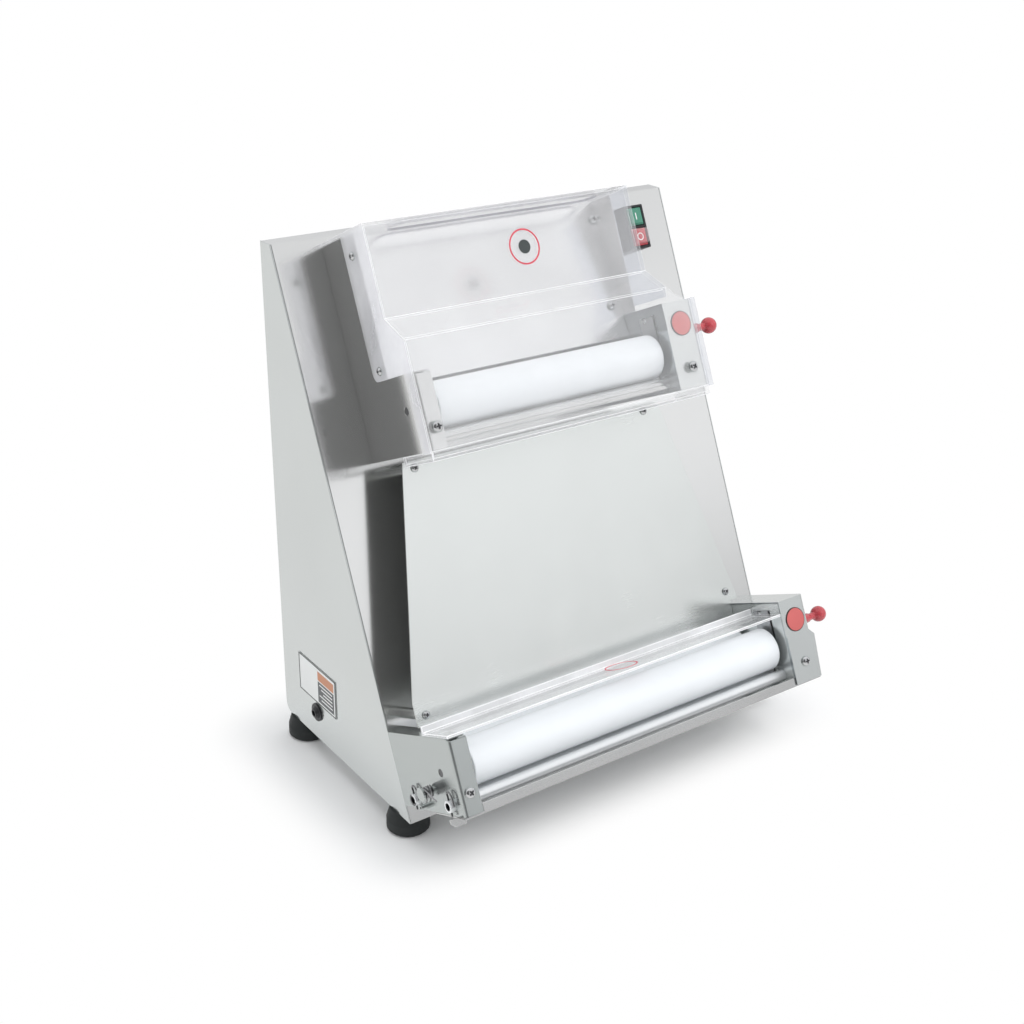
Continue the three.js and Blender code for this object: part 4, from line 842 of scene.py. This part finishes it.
BUTTON_X = 198
ON_MARK_U = 33.75
ON_MARK_OUT = 26.04
ON_MARK_SIZE = (1.3, 8, 0.12)
on_body = frame["nodes"]["switch_on_button"]["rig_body"]
off_body = frame["nodes"]["switch_off_button"]["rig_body"]
on_mark = bmesh.new()
bmesh.ops.create_cube(on_mark, size=1)
for vertex in on_mark.verts:
    x, u, n = (size * share for size, share in zip(ON_MARK_SIZE, vertex.co))
    vertex.co = place(BUTTON_X + x, ON_MARK_U + u, ON_MARK_OUT + n)
bmesh.ops.recalc_face_normals(on_mark, faces=on_mark.faces)
add_object("switch_on_mark", on_mark, "mark_white", on_body)
ring_mark("switch_off_mark", place(BUTTON_X, 58.25, 26), OUT, 4.6, 1.2, "mark_white", off_body)


# Clear dome over the lower button

DOME_U = 57.5
DOME_TOP = (17, 15, 33.5)
DOME_FOOT = (22, 20, 24.2)
bm = bmesh.new()
bmesh.ops.create_cube(bm, size=1)
for vertex in bm.verts:
    wide, tall, out = DOME_TOP if vertex.co.z > 0 else DOME_FOOT
    vertex.co = place(BUTTON_X + vertex.co.x * wide, DOME_U + vertex.co.y * tall, out)
bmesh.ops.recalc_face_normals(bm, faces=bm.faces)
soften(add_object("switch_dome", bm, "clear", "root", 60), 2.5, 4)


# Rating plate: a thin border, a plain band and a grey field with plain rules

RULES = 5
RULE_HEIGHT = 0.035
label_low, label_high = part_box("side_label")
label_x = label_low.x / MM
label_y = (label_low.y / MM, label_high.y / MM)
label_z = (label_low.z / MM, label_high.z / MM)


def label_field(name, y_share, z_share, look, lift=0.06):
    """A printed field, by its shares of the plate from the front and from the top."""
    y0, y1 = (label_y[0] + (label_y[1] - label_y[0]) * s for s in y_share)
    z1, z0 = (label_z[1] + (label_z[0] - label_z[1]) * s for s in z_share)
    bm = bmesh.new()
    bmesh.ops.create_cube(bm, size=1)
    scale = Vector((lift, y1 - y0, z1 - z0)) * MM
    centre = Vector((label_x - lift / 2, (y0 + y1) / 2, (z0 + z1) / 2)) * MM
    bmesh.ops.scale(bm, vec=scale, verts=bm.verts)
    bmesh.ops.translate(bm, vec=centre, verts=bm.verts)
    add_object(name, bm, look)


for name, y_share, z_share in (
    ("label_border_top", (0.0, 1.0), (0.0, 0.03)),
    ("label_border_bottom", (0.0, 1.0), (0.97, 1.0)),
    ("label_border_front", (0.0, 0.02), (0.0, 1.0)),
    ("label_border_rear", (0.98, 1.0), (0.0, 1.0)),
):
    label_field(name, y_share, z_share, "label_ink")
label_field("label_band", (0.05, 0.48), (0.1, 0.34), "label_band")
label_field("label_grey", (0.05, 0.48), (0.37, 0.93), "label_grey")
for row in range(RULES):
    top = 0.43 + 0.095 * row
    end = 0.44 - 0.05 * (row % 3)
    label_field(f"label_rule_{row}", (0.09, end), (top, top + RULE_HEIGHT), "label", 0.1)


# Floor: it shows white, except for the shadow close to the machine

FLOOR_REACH = 8
MIRRORED_FLOOR = 0.82
BASE_MIDDLE = (0, 0.05, 0)
BASE_HALF = (0.27, 0.14, 0)
SHADOW_FADE = (0.01, 0.1)

bm = bmesh.new()
bmesh.ops.create_grid(bm, x_segments=1, y_segments=1, size=FLOOR_REACH)
floor_mesh = bpy.data.meshes.new("floor")
bm.to_mesh(floor_mesh)
bm.free()
floor = bpy.data.objects.new("floor", floor_mesh)
bpy.context.scene.collection.objects.link(floor)


def floor_look():
    """White glow that fades in with the distance from the box of the machine's base."""
    material, tree, main = shader("pale floor", (0.98, 0.98, 0.98), 0.9)
    path = tree.nodes.new("ShaderNodeLightPath")
    glow = tree.nodes.new("ShaderNodeEmission")
    glow.inputs["Color"].default_value = (1, 1, 1, 1)
    strength = remap(tree, path.outputs["Is Glossy Ray"], (1.0, MIRRORED_FLOOR))
    tree.links.new(strength, glow.inputs["Strength"])
    from_base = tree.nodes.new("ShaderNodeNewGeometry").outputs["Position"]
    from_base = vector_math(tree, "SUBTRACT", from_base, BASE_MIDDLE)
    from_base = vector_math(tree, "ABSOLUTE", from_base)
    from_base = vector_math(tree, "SUBTRACT", from_base, BASE_HALF)
    from_base = vector_math(tree, "MAXIMUM", from_base)
    distance = vector_math(tree, "LENGTH", from_base, output="Value")
    fade = remap(tree, distance, (0.0, 1.0), SHADOW_FADE, smooth=True)
    camera_ray, through_ray = path.outputs["Is Camera Ray"], path.outputs["Is Transmission Ray"]
    straight = combine(tree, "ADD", camera_ray, through_ray, clamp=True)
    seen = combine(tree, "ADD", straight, path.outputs["Is Glossy Ray"], clamp=True)
    share = combine(tree, "MULTIPLY", seen, fade)
    whole = mixed(tree, share, main.outputs["BSDF"], glow.outputs["Emission"])
    tree.links.new(whole, tree.nodes["Material Output"].inputs["Surface"])
    return material


floor.data.materials.append(floor_look())


# World: white behind the machine, soft light on it, and a graded room in its reflections

DARK_SIDE = Vector((-0.6, -0.66, 0.45)).normalized()
DARK_SPAN = (0.66, 0.92)
DARK_LEVELS = (0.88, 0.14)
BRIGHT_SIDE = Vector((0.554, -0.79, 0.266)).normalized()
BRIGHT_SPAN = (0.965, 1.0)
BRIGHT_LIFT = (0.0, 0.24)
HORIZON_SPAN = (0.1, 0.29)
HORIZON_LEVELS = (0.54, 1.0)

scene = bpy.context.scene
scene.view_settings.view_transform = "Standard"
scene.world = bpy.data.worlds.new("studio")
scene.world.use_nodes = True
tree = scene.world.node_tree
soft = tree.nodes["Background"]
soft.inputs["Color"].default_value = (0.96, 0.98, 1.0, 1)
soft.inputs["Strength"].default_value = 0.55
white = tree.nodes.new("ShaderNodeBackground")
white.inputs["Color"].default_value = (1, 1, 1, 1)
white.inputs["Strength"].default_value = 1.0
mirror = tree.nodes.new("ShaderNodeBackground")
mirror.inputs["Color"].default_value = (0.97, 0.98, 1.0, 1)
toward = tree.nodes.new("ShaderNodeTexCoord").outputs["Generated"]
to_dark = vector_math(tree, "DOT_PRODUCT", toward, DARK_SIDE, "Value")
to_bright = vector_math(tree, "DOT_PRODUCT", toward, BRIGHT_SIDE, "Value")
height = tree.nodes.new("ShaderNodeSeparateXYZ")
tree.links.new(toward, height.inputs[0])
level = combine(
    tree, "ADD",
    remap(tree, to_dark, DARK_LEVELS, DARK_SPAN, smooth=True),
    remap(tree, to_bright, BRIGHT_LIFT, BRIGHT_SPAN, smooth=True),
)
horizon = remap(tree, height.outputs["Z"], HORIZON_LEVELS, HORIZON_SPAN, smooth=True)
tree.links.new(combine(tree, "MULTIPLY", level, horizon), mirror.inputs["Strength"])
path = tree.nodes.new("ShaderNodeLightPath")
seen = combine(
    tree, "ADD", path.outputs["Is Camera Ray"], path.outputs["Is Transmission Ray"], clamp=True
)
unseen = mixed(
    tree, path.outputs["Is Glossy Ray"], soft.outputs["Background"], mirror.outputs["Background"]
)
tree.links.new(
    mixed(tree, seen, unseen, white.outputs["Background"]),
    tree.nodes["World Output"].inputs["Surface"],
)


# Lamps and camera

MACHINE_MIDDLE = Vector((0, 0, 0.3))


def lamp(name, spot, size, power):
    """A square lamp that lights the machine and isn't mirrored in it."""
    data = bpy.data.lights.new(name, "AREA")
    data.shape = "RECTANGLE"
    data.size = data.size_y = size
    data.energy = power
    light = bpy.data.objects.new(name, data)
    scene.collection.objects.link(light)
    light.location = spot
    light.visible_glossy = False
    light.rotation_mode = "QUATERNION"
    light.rotation_quaternion = (MACHINE_MIDDLE - Vector(spot)).to_track_quat("-Z", "Y")


lamp("key", (1.4, -1.8, 1.7), 2.2, 31)
lamp("fill", (-2.6, 0.3, 1.2), 1.8, 14)
lamp("top", (0.0, 0.1, 2.7), 2.6, 32)

camera_data = bpy.data.cameras.new("camera")
camera_data.sensor_width = 36
camera_data.lens = 52.346
camera_data.clip_start = 0.05
camera_data.clip_end = 50
camera = bpy.data.objects.new("camera", camera_data)
scene.collection.objects.link(camera)
camera.location = (-0.940318, -1.213732, 0.985132)
camera.rotation_euler = (1.147364, -0.012193, -0.615196)
scene.camera = camera
